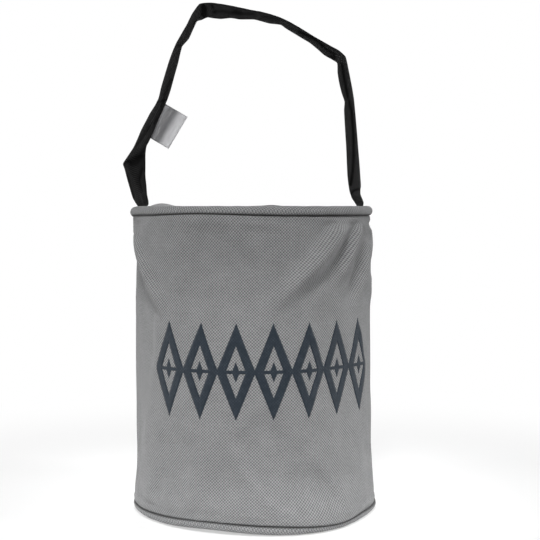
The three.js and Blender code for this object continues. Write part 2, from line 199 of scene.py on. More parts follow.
def cover_up(bearing, z, radius):
    """How far up or down the cover stands from its level, in mm."""
    near_rim = 1 - step(BODY_HEIGHT - z, 0, RIM_BLEND)
    near_foot = 1 - step(z, 0, RIM_BLEND)
    outside = step(radius, BASE_FLAT_RADIUS, PANEL_RADIUS)
    rise = outside * (near_rim * ring_shift(RIM_DIP, bearing) + near_foot * foot_lift(bearing))
    aside_puff = arc(bearing_gap(bearing, PUFF["bearing"]))
    puff = PUFF["up"] * bell(aside_puff, PUFF["spread"]) * bell(radius - PUFF["radius"], PUFF["reach"])
    inside = np.where(radius < PIPING_RING - PIPING_RADIUS, 1.0, 0.0)
    return rise + near_rim * inside * puff


def cover_point(bearing, z, radius, up=0.0):
    """The place, in metres, of a point of the sewn cover that lies at this bearing, level and radius."""
    out = radius + cover_out(bearing, z) * np.minimum(1, radius / BODY_RADIUS)
    angle = np.radians(bearing)
    level = z + cover_up(bearing, z, radius) + up
    return np.stack([out * np.sin(angle), -out * np.cos(angle), level], axis=-1) * MM


print("deepest and highest fold in mm:", min(f[2] for f in FOLDS), max(f[2] for f in FOLDS))

# %% [markdown]
# ## A grid becomes a mesh
# Cloth pieces are grids: rows and columns of points, wrapped round where the piece closes on
# itself. Each piece also gets a flat map in metres, so that the weave keeps its real size and
# follows the cloth. A row that shrinks to a pole becomes one vertex with a fan of triangles.

# %% Grid to mesh
def grid_piece(name, points, flat, wrap_columns=True, wrap_rows=False, poles=False):
    """points is rows x columns x 3 in metres; flat has one column (and row) more where it wraps."""
    rows, columns = points.shape[:2]
    verts = []
    index = np.zeros((rows, columns), dtype=int)
    for row in range(rows):
        single = poles and row in (0, rows - 1)
        for column in range(columns):
            if single and column:
                index[row, column] = index[row, 0]
                continue
            index[row, column] = len(verts)
            verts.append(tuple(points[row, column]))
    faces, maps = [], []
    for row in range(rows if wrap_rows else rows - 1):
        for column in range(columns if wrap_columns else columns - 1):
            corners = [(row, column), (row, column + 1), (row + 1, column + 1), (row + 1, column)]
            face, spots = [], []
            for r, c in corners:
                vertex = index[r % rows, c % columns]
                if vertex in face:
                    continue
                face.append(vertex)
                spots.append(flat[r, c])
            faces.append(face)
            maps.extend(spots)
    mesh = bpy.data.meshes.new(name)
    mesh.from_pydata(verts, [], faces)
    layer = mesh.uv_layers.new(name="cloth")
    layer.data.foreach_set("uv", np.array(maps, dtype=float).ravel())
    mesh.polygons.foreach_set("use_smooth", [True] * len(mesh.polygons))
    mesh.update()
    return placed(name, mesh)


def set_painted_shade_depth(piece, depth):
    """Keeps, for each vertex, how deep it lies in a seam or fold, from 0 to 1, which sets how much
    painted shade its colour gets there.
    """
    layer = piece.data.attributes.new("painted_shade_depth", "FLOAT", "POINT")
    values = np.clip(np.asarray(depth, dtype=np.float32).ravel(), 0, 1)
    layer.data.foreach_set("value", values)


def bearings_round(columns):
    """The bearing of each column of a closed piece, and of the first one again."""
    return np.arange(columns + 1) / columns * 360 - 180


def columns_of(profile):
    """The radii and the levels of (radius, level) rows, each as a column."""
    return np.array(profile)[:, :1], np.array(profile)[:, 1:]


def turned_piece(name, profile, columns, up=None):
    """A closed round piece from (radius, level) rows, pole to pole, in the form of the cover."""
    bearings = bearings_round(columns)
    radius, level = columns_of(profile)
    rise = up(bearings[None, :], radius) if up else 0.0
    points = cover_point(bearings[None, :], level, radius, rise)
    return grid_piece(name, points[:, :-1], points[..., :2], poles=True)


# %% [markdown]
# ## Slack in the cloth
# The folds above are the large ones. Between them a sewn panel is never even: it is a little
# longer than the seams that hold it, and the filling pushes it out. That is what Blender's cloth
# simulation is good at. A tube of cloth is held at both seams, made slightly too large and
# pressed from inside for twenty frames. Only how far each point moved in or out is kept, less the
# mean of its row and with a limit, so that the girth stays and the folds above stay the main ones.

# %% Cloth simulation of the slack
SLACK_ROWS = 80
SLACK_COLUMNS = 200
SLACK_FRAMES = 20
SLACK_PRESSURE = 0.8
SLACK_GROWTH = 0.02
MOST_SLACK = 1.1
SLACK_LOW, SLACK_HIGH = 8.0, 168.0


def slack_tube():
    bearings = bearings_round(SLACK_COLUMNS)
    levels = np.linspace(SLACK_LOW, SLACK_HIGH, SLACK_ROWS)
    points = cover_point(bearings[None, :], levels[:, None], BODY_RADIUS)
    tube = grid_piece("slack_tube", points[:, :-1], points[..., :2])
    held = tube.vertex_groups.new(name="seams")
    held.add([v.index for v in tube.data.vertices
              if not SLACK_LOW + 1 < v.co.z / MM < SLACK_HIGH - 1], 1.0, "REPLACE")
    return tube


def simulated_slack():
    """How far out each point of the tube moves, in mm, as rows x columns."""
    tube = slack_tube()
    before = np.array([v.co for v in tube.data.vertices])
    cloth = tube.modifiers.new("cloth", "CLOTH")
    for setting, value in (
        ("quality", 6), ("mass", 0.25), ("tension_stiffness", 30), ("compression_stiffness", 30),
        ("bending_stiffness", 1.2), ("vertex_group_mass", "seams"), ("shrink_min", -SLACK_GROWTH),
        ("use_pressure", True), ("uniform_pressure_force", SLACK_PRESSURE),
    ):
        setattr(cloth.settings, setting, value)
    cloth.settings.effector_weights.gravity = 0
    cloth.collision_settings.use_collision = False
    cloth.point_cache.frame_start = 1
    cloth.point_cache.frame_end = SLACK_FRAMES
    for frame_number in range(1, SLACK_FRAMES + 1):
        bpy.context.scene.frame_set(frame_number)
    ready = tube.evaluated_get(bpy.context.evaluated_depsgraph_get())
    after = np.array([v.co for v in ready.data.vertices])
    bpy.context.scene.frame_set(1)
    bpy.data.objects.remove(tube)
    out = (np.hypot(after[:, 0], after[:, 1]) - np.hypot(before[:, 0], before[:, 1])) / MM
    out = out.reshape(SLACK_ROWS, SLACK_COLUMNS)
    print("slack moved the cloth by", np.round([out.min(), out.mean(), out.max()], 2), "mm")
    out = out - out.mean(axis=1, keepdims=True)
    return MOST_SLACK * np.tanh(out / MOST_SLACK)


SLACK_MAP = simulated_slack()


def slack_out(bearing, z):
    """The simulated slack at a bearing and level, smoothly read from its map."""
    column = ((np.asarray(bearing) + 180) / 360 * SLACK_COLUMNS) % SLACK_COLUMNS
    row = np.clip((np.asarray(z) - SLACK_LOW) / (SLACK_HIGH - SLACK_LOW), 0, 1) * (SLACK_ROWS - 1)
    c0 = np.floor(column).astype(int) % SLACK_COLUMNS
    r0 = np.minimum(np.floor(row).astype(int), SLACK_ROWS - 2)
    c1, fc, fr = (c0 + 1) % SLACK_COLUMNS, column - np.floor(column), row - r0
    low = SLACK_MAP[r0, c0] * (1 - fc) + SLACK_MAP[r0, c1] * fc
    high = SLACK_MAP[r0 + 1, c0] * (1 - fc) + SLACK_MAP[r0 + 1, c1] * fc
    return low * (1 - fr) + high * fr


# %% [markdown]
# ## Side panel
# One length of cloth goes round the body. Its two long edges are turned into the seams, so the
# cloth rolls in against the piping and leaves a groove. The groove is dark partly from its own
# shadow and partly from painted shade: the colour is darkened near both edges. In places it bulges
# over the piping and hides part of it. The panel is a tube with a real thickness: the outside,
# then back down the inside.

# %% Side panel
WALL_BOTTOM = 5.0
WALL_TOP = 170.9
EDGE_ROLL = 1.5
OUTSIDE_ROWS = 150
INSIDE_ROWS = 50
COLUMNS_ROUND = 360
# Where the filling swells the cloth all round: level, spread in level, how far out.
BELLY = (17, 13, 0.9)
FULLNESS = (98, 58, 0.9)
RIM_BLEND_DOWN, FOOT_BLEND_UP = 16, 24
# How far inside its edge each bulge stands out most, and its spread in level.
RIM_BULGE, FOOT_BULGE = (2.2, 5.5), (3, 9)
# The painted shade of the groove is full within the first distance from an edge, in mm, and gone past the
# second.
PAINTED_SHADE_FROM, PAINTED_SHADE_TO = 0.2, 0.9
# Where the cloth bulges over a piping: bearing, spread in degrees, how far past the seam, how far out.
RIM_COVERS = [(-24, 26, 1.1, 1.5), (150, 30, 0.8, 1.2)]
FOOT_COVERS = [(40, 22, 1.8, 2.2), (73, 13, 1.1, 0.9), (-30, 34, 0.5, 0.8), (-72, 18, 0.9, 0.9),
               (-140, 32, 1.0, 1.4), (-90, 12, 0.9, 0.9), (88, 12, 0.9, 0.8)]


def rolled_edge(level):
    """How far in the cloth is rolled near its upper and lower edge."""
    near = np.minimum(level - WALL_BOTTOM, WALL_TOP - level)
    share = np.clip(1 - near / EDGE_ROLL, 0, 1)
    return EDGE_ROLL * (1 - np.sqrt(1 - 0.96 * share ** 2))


def cover_over(covers, bearing):
    """How far past the seam, and how far out, the bulges of one seam reach at a bearing."""
    past = sum(ring_shift((where, spread, reach), bearing) for where, spread, reach, _ in covers)
    out = sum(ring_shift((where, spread, reach), bearing) for where, spread, _, reach in covers)
    return past, out


def swelling(swell, z):
    middle, spread, out = swell
    return out * bell(z - middle, spread)


def wall_point(bearing, z, radius):
    """A place on the side panel: the cover's form, the slack, and the bulges at both seams."""
    rim_past, rim_out = cover_over(RIM_COVERS, bearing)
    foot_past, foot_out = cover_over(FOOT_COVERS, bearing)
    near_rim = step(z, WALL_TOP - RIM_BLEND_DOWN, WALL_TOP)
    near_foot = 1 - step(z, WALL_BOTTOM, WALL_BOTTOM + FOOT_BLEND_UP)
    out = radius + slack_out(bearing, z) + swelling(BELLY, z) + swelling(FULLNESS, z)
    out = out + rim_out * bell(WALL_TOP - RIM_BULGE[0] - z, RIM_BULGE[1])
    out = out + foot_out * bell(z - WALL_BOTTOM - FOOT_BULGE[0], FOOT_BULGE[1])
    return cover_point(bearing, z, out, rim_past * near_rim - foot_past * near_foot)


def wall_profile():
    share = np.linspace(0, 1, OUTSIDE_ROWS)
    share = 0.6 * share + 0.4 * (0.5 - 0.5 * np.cos(np.pi * share))
    outside = WALL_BOTTOM + (WALL_TOP - WALL_BOTTOM) * share
    inside = np.linspace(WALL_TOP - 0.8, WALL_BOTTOM + 0.8, INSIDE_ROWS)
    rows = [(BODY_RADIUS - rolled_edge(z), z) for z in outside]
    return rows + [(BODY_RADIUS - CLOTH_THICKNESS - rolled_edge(z) * 0.9, z) for z in inside]


def unrolled(across, up):
    """A flat map in metres, from how far across and how far up each point lies in mm."""
    return np.stack(np.broadcast_arrays(across, up), axis=-1) * MM


def side_panel_piece():
    rows = np.array(wall_profile())
    bearings = bearings_round(COLUMNS_ROUND)
    points = wall_point(bearings[None, :], rows[:, 1:], rows[:, :1])
    flat = unrolled(arc(bearings)[None, :], rows[:, 1:])
    flat = np.concatenate([flat, flat[:1]], axis=0)
    piece = grid_piece("side_panel_cloth", points[:, :-1], flat, wrap_rows=True)
    # Painted shade: the colour is darkened near both edges, down in the grooves.
    near = np.minimum(rows[:, 1] - WALL_BOTTOM, WALL_TOP - rows[:, 1])
    depth = 1 - step(near, PAINTED_SHADE_FROM, PAINTED_SHADE_TO)
    set_painted_shade_depth(piece, np.repeat(depth[:, None], COLUMNS_ROUND, axis=1))
    return piece


side_panel = side_panel_piece()
print("side panel:", len(side_panel.data.polygons), "faces")

# %% [markdown]
# ## Top panel and base panel
# Two rounds of the same cloth close the ends. The top one lies just under the rim and puffs up
# beside the left end of the loop, which pulls it. It gives way where the ends of the band pass
# between it and the piping. The base panel is flat where it stands and turns up to its seam.

# %% Top and base panels
BAND_WIDTH = 12.4
BAND_THICKNESS = 2.0
TOP_LEVEL = BODY_HEIGHT - 1.2
TOP_FALL = 1.6
SLACK = 0.35


def top_face():
    inner = [(r, TOP_LEVEL) for r in np.linspace(0, 40, 14)]
    outer = []
    for r in np.linspace(42, PANEL_RADIUS, 20):
        share = (r - 42) / (PANEL_RADIUS - 42)
        outer.append((r, TOP_LEVEL - TOP_FALL * share ** 3))
    return inner + outer


def slack_waves(bearing, radius):
    """Soft unevenness of a panel that is sewn in a little loose."""
    angle = np.radians(bearing)
    wave = np.sin(3 * angle + 0.7) * 0.6 + np.sin(5 * angle + 2.1) * 0.4
    return SLACK * wave * step(radius, 8, 45) * (1 - step(radius, 52, 62))


def give_way(piece):
    """Draws the panel's edge in where the two ends of the band come up."""
    for vertex in piece.data.vertices:
        x, y = vertex.co.x / MM, vertex.co.y / MM
        beside = 1 - step(abs(y), BAND_WIDTH / 2 + 0.6, BAND_WIDTH / 2 + 4)
        outer = step(abs(x), PANEL_RADIUS - 9, PANEL_RADIUS)
        vertex.co.x -= math.copysign(float(beside * outer) * (BAND_THICKNESS + 0.7) * MM, x)


face = top_face()
under = [(r, z - CLOTH_THICKNESS) for r, z in face]
top_panel = turned_piece("top_panel_cloth", under + face[::-1], 180, up=slack_waves)
give_way(top_panel)

base_face = [(r, 0.0) for r in np.linspace(0, BASE_FLAT_RADIUS, 12)]
base_face += [(r, 1.7 * ((r - BASE_FLAT_RADIUS) / (PANEL_RADIUS - BASE_FLAT_RADIUS)) ** 2)
              for r in np.linspace(BASE_FLAT_RADIUS + 1, PANEL_RADIUS, 8)]
base_over = [(r, z + CLOTH_THICKNESS) for r, z in base_face]
base_panel = turned_piece("base_panel_cloth", base_face + base_over[::-1], 180)
print("panels:", len(top_panel.data.polygons), len(base_panel.data.polygons), "faces")

# %% [markdown]
# ## Piping
# A cord wrapped in a strip of the same cloth, cut on the slant, is sewn into each seam. Each is
# made as a whole ring, and a small rise at the back of the upper one stands for the lap of its
# ends. Cord under cloth is never quite even, so a gentle noise moves its surface.

# %% Piping
PIPING_COLUMNS = 360
PIPING_SIDES = 32
UNEVEN = 0.16
# Where round the piping its painted shade begins and where it is full.
GROOVE_SHADE_FROM, GROOVE_SHADE_TO = 0.45, 0.85
JOINT = {"bearing": 170, "spread": 5.0, "up": 0.75}
# Where the lower piping stands out further than the cloth: bearing, spread in degrees, how far.
FOOT_BULGES = [(82, 24, 0.7), (-84, 24, 0.65)]


def piping_piece(name, middle, joint, phase, groove_side, covers, bulges):
    bearings = bearings_round(PIPING_COLUMNS)
    around = np.arange(PIPING_SIDES) / PIPING_SIDES * 2 * np.pi
    angle = np.radians(bearings)
    lumps = [noise.noise(Vector((9 * math.sin(a), 9 * math.cos(a), phase))) for a in angle]
    size = PIPING_RADIUS + UNEVEN * np.array(lumps)[None, :]
    lift = joint * JOINT["up"] * bell(bearing_gap(bearings, JOINT["bearing"]), JOINT["spread"])
    radius = PIPING_RING + size * np.cos(around)[:, None]
    level = middle + size * np.sin(around)[:, None]
    ring_out = cover_out(bearings, np.full_like(bearings, middle))[None, :]
    ring_out = ring_out + sum(ring_shift(bulge, bearings) for bulge in bulges)
    ring_up = cover_up(bearings, np.full_like(bearings, middle), np.full_like(bearings, PIPING_RING))
    out = radius + ring_out
    up = level + (ring_up + lift)[None, :]
    points = np.stack([out * np.sin(angle), -out * np.cos(angle), up], axis=-1) * MM
    points[..., 2] = np.maximum(points[..., 2], 0.0)
    flat = unrolled((PIPING_RING * angle)[None, :], (around * PIPING_RADIUS)[:, None])
    flat = np.concatenate([flat, flat[:1] + np.array([0, 2 * np.pi * PIPING_RADIUS * MM])], axis=0)
    piece = grid_piece(name, points[:, :-1], flat, wrap_rows=True)
    # Painted shade: the side that faces the wall, and what the wall's bulges cover, is darkened.
    past, _ = cover_over(covers, bearings[:-1])
    facing = np.sin(around)[:, None] * groove_side + past[None, :] / PIPING_RADIUS
    set_painted_shade_depth(piece, step(facing, GROOVE_SHADE_FROM, GROOVE_SHADE_TO))
    return piece


top_piping = piping_piece("top_piping_cloth", BODY_HEIGHT - PIPING_RADIUS, 1.0, 0.3, -1, RIM_COVERS, [])
base_piping = piping_piece("base_piping_cloth", PIPING_RADIUS, 0.0, 4.6, 1, FOOT_COVERS, FOOT_BULGES)
print("piping:", len(top_piping.data.polygons), "faces each")

# %% [markdown]
# ## Carrying loop
# A strip of black twill is folded lengthwise and sewn, then both its ends go into the upper
# seam. It is soft, so it rolls in on itself where it is narrow, lies open where it is wide, and
# kinks at its corners. Two curves, one for each edge, give the place, width and twist at once,
# which a tube along one curve can't do. The solid follows the same two edges with fewer rows.

# %% Edges of the band
BAND_TUCK = 8.0
SOFTNESS = 0.5
# Outer edge and inner edge as (across, back, rise above the rim), from the left end to the right.
LOOP_EDGES = [
    ((-64.3, 6.2, -2.7), (-64.3, -6.2, -2.7)),
    ((-67.2, 4.8, -0.2), (-60.6, -5.2, 1.0)),
    ((-70.1, 3.4, 4.5), (-61.4, -4.0, 6.6)),
    ((-71.8, 2.3, 10.3), (-61.8, -2.7, 12.0)),
    ((-73.3, 1.3, 15.8), (-62.4, -1.5, 17.4)),
    ((-74.7, 0.7, 21.5), (-62.4, -0.7, 22.6)),
    ((-75.6, 0.4, 24.4), (-62.4, -0.4, 25.4)),
    ((-73.1, -0.1, 28.4), (-62.4, 0.2, 30.5)),
    ((-69.3, -0.7, 34.0), (-61.8, 0.6, 34.8)),
    ((-66.8, -1.0, 39.2), (-60.2, 0.8, 38.0)),
    ((-64.7, -0.8, 44.2), (-58.4, 0.8, 41.6)),
    ((-62.2, -0.6, 48.9), (-56.4, 0.8, 46.2)),
    ((-59.6, -0.5, 53.8), (-54.3, 0.8, 51.3)),
    ((-56.6, -0.2, 58.6), (-51.9, 0.8, 56.4)),
    ((-54.7, 0.1, 62.6), (-49.6, 0.8, 61.6)),
    ((-53.3, 0.4, 68.5), (-47.7, 0.8, 67.1)),
    ((-50.1, 0.9, 79.2), (-44.8, 0.9, 77.6)),
    ((-48.4, 1.2, 84.5), (-43.3, 1.0, 82.9)),
    ((-46.4, 1.4, 89.8), (-42.1, 1.1, 88.2)),
    ((-44.4, 1.6, 94.3), (-40.9, 1.3, 92.5)),
    ((-41.2, 1.7, 100.0), (-37.1, 1.5, 96.8)),
    ((-38.4, 1.8, 104.8), (-34.7, 1.7, 102.0)),
    ((-35.1, 1.8, 111.4), (-32.2, 2.0, 107.0)),
    ((-31.0, 1.4, 116.8), (-30.0, 2.3, 107.6)),
    ((-28.4, 1.2, 117.4), (-26.2, 2.5, 109.2)),
    ((-24.0, 0.9, 117.5), (-23.5, 2.6, 108.8)),
    ((-17.7, 0.7, 116.7), (-18.7, 2.4, 108.3)),
    ((-12.2, 0.6, 115.7), (-12.6, 2.2, 108.8)),
    ((-6.7, 0.7, 114.6), (-7.6, 2.0, 108.0)),
    ((-0.4, 0.8, 113.3), (0.8, 1.6, 107.9)),
    ((4.4, 0.9, 112.5), (4.4, 1.4, 107.0)),
    ((9.9, 1.0, 111.1), (9.6, 1.2, 105.6)),
    ((15.4, 1.0, 109.3), (16.2, 1.1, 104.8)),
    ((20.9, 1.0, 106.8), (19.4, 1.0, 102.6)),
    ((25.8, 1.0, 104.1), (23.4, 1.0, 100.2)),
    ((30.6, 1.1, 101.2), (28.1, 1.0, 97.4)),
    ((35.3, 1.2, 98.3), (32.9, 1.0, 94.6)),
    ((40.1, 1.3, 95.6), (37.3, 0.9, 91.1)),
    ((45.0, 1.4, 92.9), (41.5, 0.8, 87.4)),
    ((50.0, 1.4, 90.2), (46.3, 0.7, 84.7)),
    ((53.8, 1.4, 86.6), (48.9, 0.5, 83.0)),
    ((55.8, 1.3, 78.2), (49.2, 0.4, 77.2)),
    ((56.9, 1.2, 72.9), (50.1, 0.4, 71.5)),
    ((57.9, 1.0, 67.6), (51.6, 0.6, 65.6)),
    ((58.8, 0.9, 62.0), (53.3, 0.6, 60.6)),
    ((59.4, 0.7, 56.1), (53.0, 0.5, 55.8)),
    ((60.4, 0.4, 45.1), (53.6, 0.3, 44.7)),
    ((61.3, 0.2, 34.1), (54.3, 0.2, 33.6)),
    ((62.2, -0.3, 23.0), (54.8, 0.4, 22.5)),
    ((62.5, -0.9, 17.4), (55.2, 0.9, 17.0)),
    ((62.7, -1.8, 11.9), (56.1, 1.8, 11.3)),
    ((61.9, -3.6, 7.0), (57.8, 3.8, 5.8)),
    ((63.7, -5.2, 1.9), (61.0, 5.2, 1.0)),
    ((62.4, -6.2, -2.7), (62.4, 6.2, -2.7)),
]


def band_edges():
    """Both edges as arrays of points in mm, with the ends tucked down behind the seam."""
    edges = []
    for side in (0, 1):
        points = [np.array(row[side]) + (0, 0, BODY_HEIGHT) for row in LOOP_EDGES]
        tuck = np.array((0, 0, -BAND_TUCK))
        edges.append(np.array([points[0] + tuck, *points, points[-1] + tuck]))
    return edges


def smooth_curve(points, steps):
    """A curve through all the points, part smooth and part straight runs with kinks."""
    padded = np.vstack([2 * points[0] - points[1], points, 2 * points[-1] - points[-2]])
    made = []
    for i in range(1, len(padded) - 2):
        p0, p1, p2, p3 = padded[i - 1 : i + 3]
        t1 = math.sqrt(np.linalg.norm(p1 - p0)) + 1e-6
        t2 = t1 + math.sqrt(np.linalg.norm(p2 - p1)) + 1e-6
        t3 = t2 + math.sqrt(np.linalg.norm(p3 - p2)) + 1e-6
        for share in np.arange(steps) / steps:
            t = t1 + share * (t2 - t1)
            a1 = p0 + (p1 - p0) * t / t1
            a2 = p1 + (p2 - p1) * (t - t1) / (t2 - t1)
            a3 = p2 + (p3 - p2) * (t - t2) / (t3 - t2)
            b1 = a1 + (a2 - a1) * t / t2
            b2 = a2 + (a3 - a2) * (t - t1) / (t3 - t1)
            curved = b1 + (b2 - b1) * (t - t1) / (t2 - t1)
            made.append(curved * SOFTNESS + (p1 + (p2 - p1) * share) * (1 - SOFTNESS))
    made.append(points[-1])
    return np.array(made)


# %% [markdown]
# The section of the band is a flat oval. It keeps its area, up to a greatest thickness, so it is
# thick where it is narrow.
# Where it kinks, one layer lies over the next: such a fold has a soft side and a sharp edge with
# a hollow under it. Each is a line in the plane of the loop, as the folds of the cover are lines
# on the cover, and it shows on both faces. The hollows also get painted shade in the colour.

# %% Folds of the band
# Each line: its points as (across, rise), height, width on its left side, width on its right side.
BAND_FOLDS = [
    # The kink at the left, where the upper run lies over the lower one.
    ([(-60.8, 36.6), (-62.7, 34.2), (-66.6, 29.9), (-70.6, 27.4), (-75.0, 25.0)], 1.5, 0.35, 3.2),
    ([(-65.0, 28.6), (-67.4, 25.6), (-70.5, 24.6)], -1.1, 1.5, 1.3),
    ([(-64.0, 21.6), (-65.9, 14.5), (-63.6, 8.2)], -0.9, 0.8, 0.9),
    ([(-72.6, 23.0), (-70.4, 19.0), (-67.4, 14.1), (-63.9, 7.4), (-62.2, 2.9)], 0.7, 1.3, 0.9),
    ([(-72.8, 17.4), (-68.6, 5.8)], -0.5, 0.9, 0.9),
    ([(-60.0, 46.0), (-64.4, 39.2), (-68.2, 33.6)], -0.55, 0.7, 0.9),
    # The left run.
    ([(-47.4, 73.0), (-51.4, 63.4), (-53.6, 55.2), (-57.4, 47.6)], -0.5, 0.8, 0.8),
    ([(-44.4, 92.2), (-40.9, 92.9)], -0.5, 0.8, 0.8),
    ([(-57.0, 58.0), (-54.4, 60.4), (-50.4, 61.0)], -0.4, 0.8, 0.8),
    # The corner at the upper left, where the top run comes out from under the left one.
    ([(-30.2, 117.6), (-31.0, 109.9), (-31.6, 106.6)], 1.2, 0.35, 3.0),
    ([(-29.0, 115.4), (-28.9, 110.6)], -1.5, 2.2, 0.8),
    ([(-27.9, 116.6), (-25.0, 115.2), (-22.6, 113.2)], 0.8, 0.8, 0.6),
    ([(-23.6, 115.4), (-22.4, 112.2)], -1.0, 0.9, 0.8),
    ([(-21.4, 112.9), (-7.0, 111.4), (0.6, 111.0)], -0.55, 1.0, 1.0),
    ([(-10.5, 112.6), (-7.5, 111.8)], -0.5, 1.4, 1.4),
    ([(6.0, 109.3), (15.0, 107.6)], -0.45, 0.9, 0.9),
    # The slope at the right, down to its corner.
    ([(27.0, 100.6), (34.1, 97.4), (38.9, 94.0), (43.6, 89.9), (47.2, 87.8)], -0.95, 0.7, 0.8),
    ([(45.6, 86.2), (47.2, 85.8)], -1.0, 0.9, 0.9),
    # The right run, with two ridges and a groove between them.
    ([(51.4, 82.0), (53.0, 73.0), (55.2, 62.2), (57.2, 55.0), (58.3, 41.2), (58.5, 28.2),
      (58.2, 20.3), (57.6, 12.2)], -1.0, 0.8, 0.8),
    ([(53.6, 60.6), (56.2, 63.6), (56.6, 68.0)], 0.5, 0.4, 1.6),
    ([(62.4, 9.8), (59.6, 8.8), (58.0, 6.4)], -0.7, 0.8, 0.8),
]


def line_fold(fold, across, rise):
    """How far one fold of the band lifts its face at a place in the plane of the loop."""
    points, height, left, right = fold
    best = None
    for (x0, z0), (x1, z1) in zip(points, points[1:]):
        dx, dz = x1 - x0, z1 - z0
        share = np.clip(((across - x0) * dx + (rise - z0) * dz) / (dx * dx + dz * dz), 0, 1)
        off_x, off_z = across - x0 - share * dx, rise - z0 - share * dz
        away = np.hypot(off_x, off_z)
        width = np.where(dx * off_z - dz * off_x > 0, left, right)
        lift = height * bell(away, width)
        best = lift if best is None else np.where(np.abs(lift) > np.abs(best), lift, best)
    return best


# %% Band
BAND_STEPS = 12
BAND_SIDES = 56
BAND_MOST_THICKNESS = 4.6
WRINKLE = 0.16
# How deep a fold's hollow is, in mm, where its painted shade is full.
BAND_HOLLOW = 0.75


def band_piece():
    outer, inner = (smooth_curve(edge, BAND_STEPS) for edge in band_edges())
    middle = (outer + inner) / 2
    forward = np.gradient(middle, axis=0)
    forward /= np.linalg.norm(forward, axis=1)[:, None]
    wide = outer - inner
    width = np.linalg.norm(wide, axis=1)
    wide /= width[:, None]
    face = np.cross(forward, wide)
    face /= np.linalg.norm(face, axis=1)[:, None]
    run = np.concatenate([[0], np.cumsum(np.linalg.norm(np.diff(middle, axis=0), axis=1))])
    thick = np.minimum(BAND_MOST_THICKNESS, BAND_WIDTH * BAND_THICKNESS / width)
    angle = 2 * np.pi * np.arange(BAND_SIDES) / BAND_SIDES
    across = np.sign(np.cos(angle)) * np.abs(np.cos(angle)) ** 0.7
    height = np.sign(np.sin(angle)) * np.abs(np.sin(angle)) ** 0.8
    points = middle[:, None] + wide[:, None] * (across[None, :] * width[:, None] / 2)[..., None]
    lift = sum(line_fold(fold, points[..., 0], points[..., 2] - BODY_HEIGHT) for fold in BAND_FOLDS)
    ripple = np.array([[noise.noise(Vector((r / 5.0, a * 1.7, math.copysign(2.0, h))))
                        for a, h in zip(across, height)] for r in run])
    swell = height[None, :] * thick[:, None] / 2
    least = -0.75 * np.abs(swell)
    swell += np.sign(height)[None, :] * np.maximum(lift + WRINKLE * ripple, least) * np.abs(height)
    points = points + face[:, None] * swell[..., None]
    girth = np.arange(BAND_SIDES + 1) / BAND_SIDES * (2 * BAND_WIDTH + 2 * BAND_THICKNESS)
    flat = unrolled(girth[None, :], run[:, None])
    caps = [np.repeat(points[[i]].mean(axis=1, keepdims=True), BAND_SIDES, axis=1) for i in (0, -1)]
    points = np.concatenate([caps[0], points, caps[1]], axis=0) * MM
    flat = np.concatenate([flat[:1], flat, flat[-1:]], axis=0)
    piece = grid_piece("handle_band", points, flat, poles=True)
    # Painted shade: the colour darkens in the hollows of the folds, the more the deeper they are.
    hollow = np.clip(-lift / BAND_HOLLOW, 0, 1) * np.abs(height)[None, :] ** 0.5
    set_painted_shade_depth(piece, np.concatenate([[0], hollow.ravel(), [0]]))
    return piece, float(run[-1])


handle, band_length = band_piece()
print("band: length", round(band_length), "mm,", len(handle.data.polygons), "faces")

# %% [markdown]
# ## Care label
# A short satin ribbon is folded in half and its two ends are sewn into the inner edge of the
# loop. It stands out from the band and curls a little, which gives it some light and dark. A dark
# stripe on each leaf, a few millimetres from its sewn end, is painted shade in its colour. It is
# left blank.

# %% Care label
LABEL_ROWS = (11, 13)
LABEL_WIDTH = 21.6
LABEL_REACH = 14.8
LABEL_LEAN = 7.0
LABEL_DROP = 2.2
RIBBON_THICKNESS = 0.3
RIBBON_GAP = 0.5
LABEL_CURL = 1.6
LABEL_RIPPLE = 0.35
LABEL_ROWS_UP = 24


def label_piece():
    inner = band_edges()[1]
    low, high = (inner[row + 1] for row in LABEL_ROWS)
    rise = high - low
    lean = math.radians(LABEL_LEAN)
    turn = math.atan2(rise[0], rise[2]) + lean
    up = np.array((math.sin(turn), 0, math.cos(turn)))
    out = np.array((math.cos(turn), 0, -math.sin(turn)))
    back = np.array((0, 1, 0))
    tucked = 0.3 - LABEL_WIDTH / 2 * math.sin(lean)
    seat = (low + high) / 2 + out * tucked - up * (LABEL_WIDTH / 2 + LABEL_DROP)
    half = RIBBON_GAP / 2 + RIBBON_THICKNESS / 2
    bend = LABEL_REACH - half - RIBBON_THICKNESS / 2
    path = [(x, -half) for x in np.linspace(0, bend, 18)]
    path += [(bend + half * math.sin(a), -half * math.cos(a)) for a in np.linspace(0, math.pi, 9)[1:-1]]
    path += [(x, half) for x in np.linspace(bend, 0, 18)]
    run = np.concatenate([[0], np.cumsum([math.dist(a, b) for a, b in zip(path, path[1:])])])
    points = np.zeros((LABEL_ROWS_UP, len(path), 3))
    for i in range(LABEL_ROWS_UP):
        share = i / (LABEL_ROWS_UP - 1)
        for j, (reach, depth) in enumerate(path):
            curl = LABEL_CURL * (math.sin(reach / LABEL_REACH * 4.4 + 0.5) + 0.5 * (share - 0.5))
            curl += LABEL_RIPPLE * math.sin(share * 5.0 + reach / 6)
            points[i, j] = seat + up * share * LABEL_WIDTH + out * reach + back * (depth + curl)
    flat = unrolled(run[None, :], np.linspace(0, LABEL_WIDTH, LABEL_ROWS_UP)[:, None])
    piece = grid_piece("label_ribbon", points * MM, flat, wrap_columns=False)
    wall = piece.modifiers.new("thickness", "SOLIDIFY")
    wall.thickness = RIBBON_THICKNESS * MM
    wall.offset = 0
    return piece, float(run[-1])


def made_plain(piece):
    """The same object with its modifiers worked into the mesh."""
    ready = piece.evaluated_get(bpy.context.evaluated_depsgraph_get())
    mesh = bpy.data.meshes.new_from_object(ready)
    piece.modifiers.clear()
    piece.data = mesh
    return piece


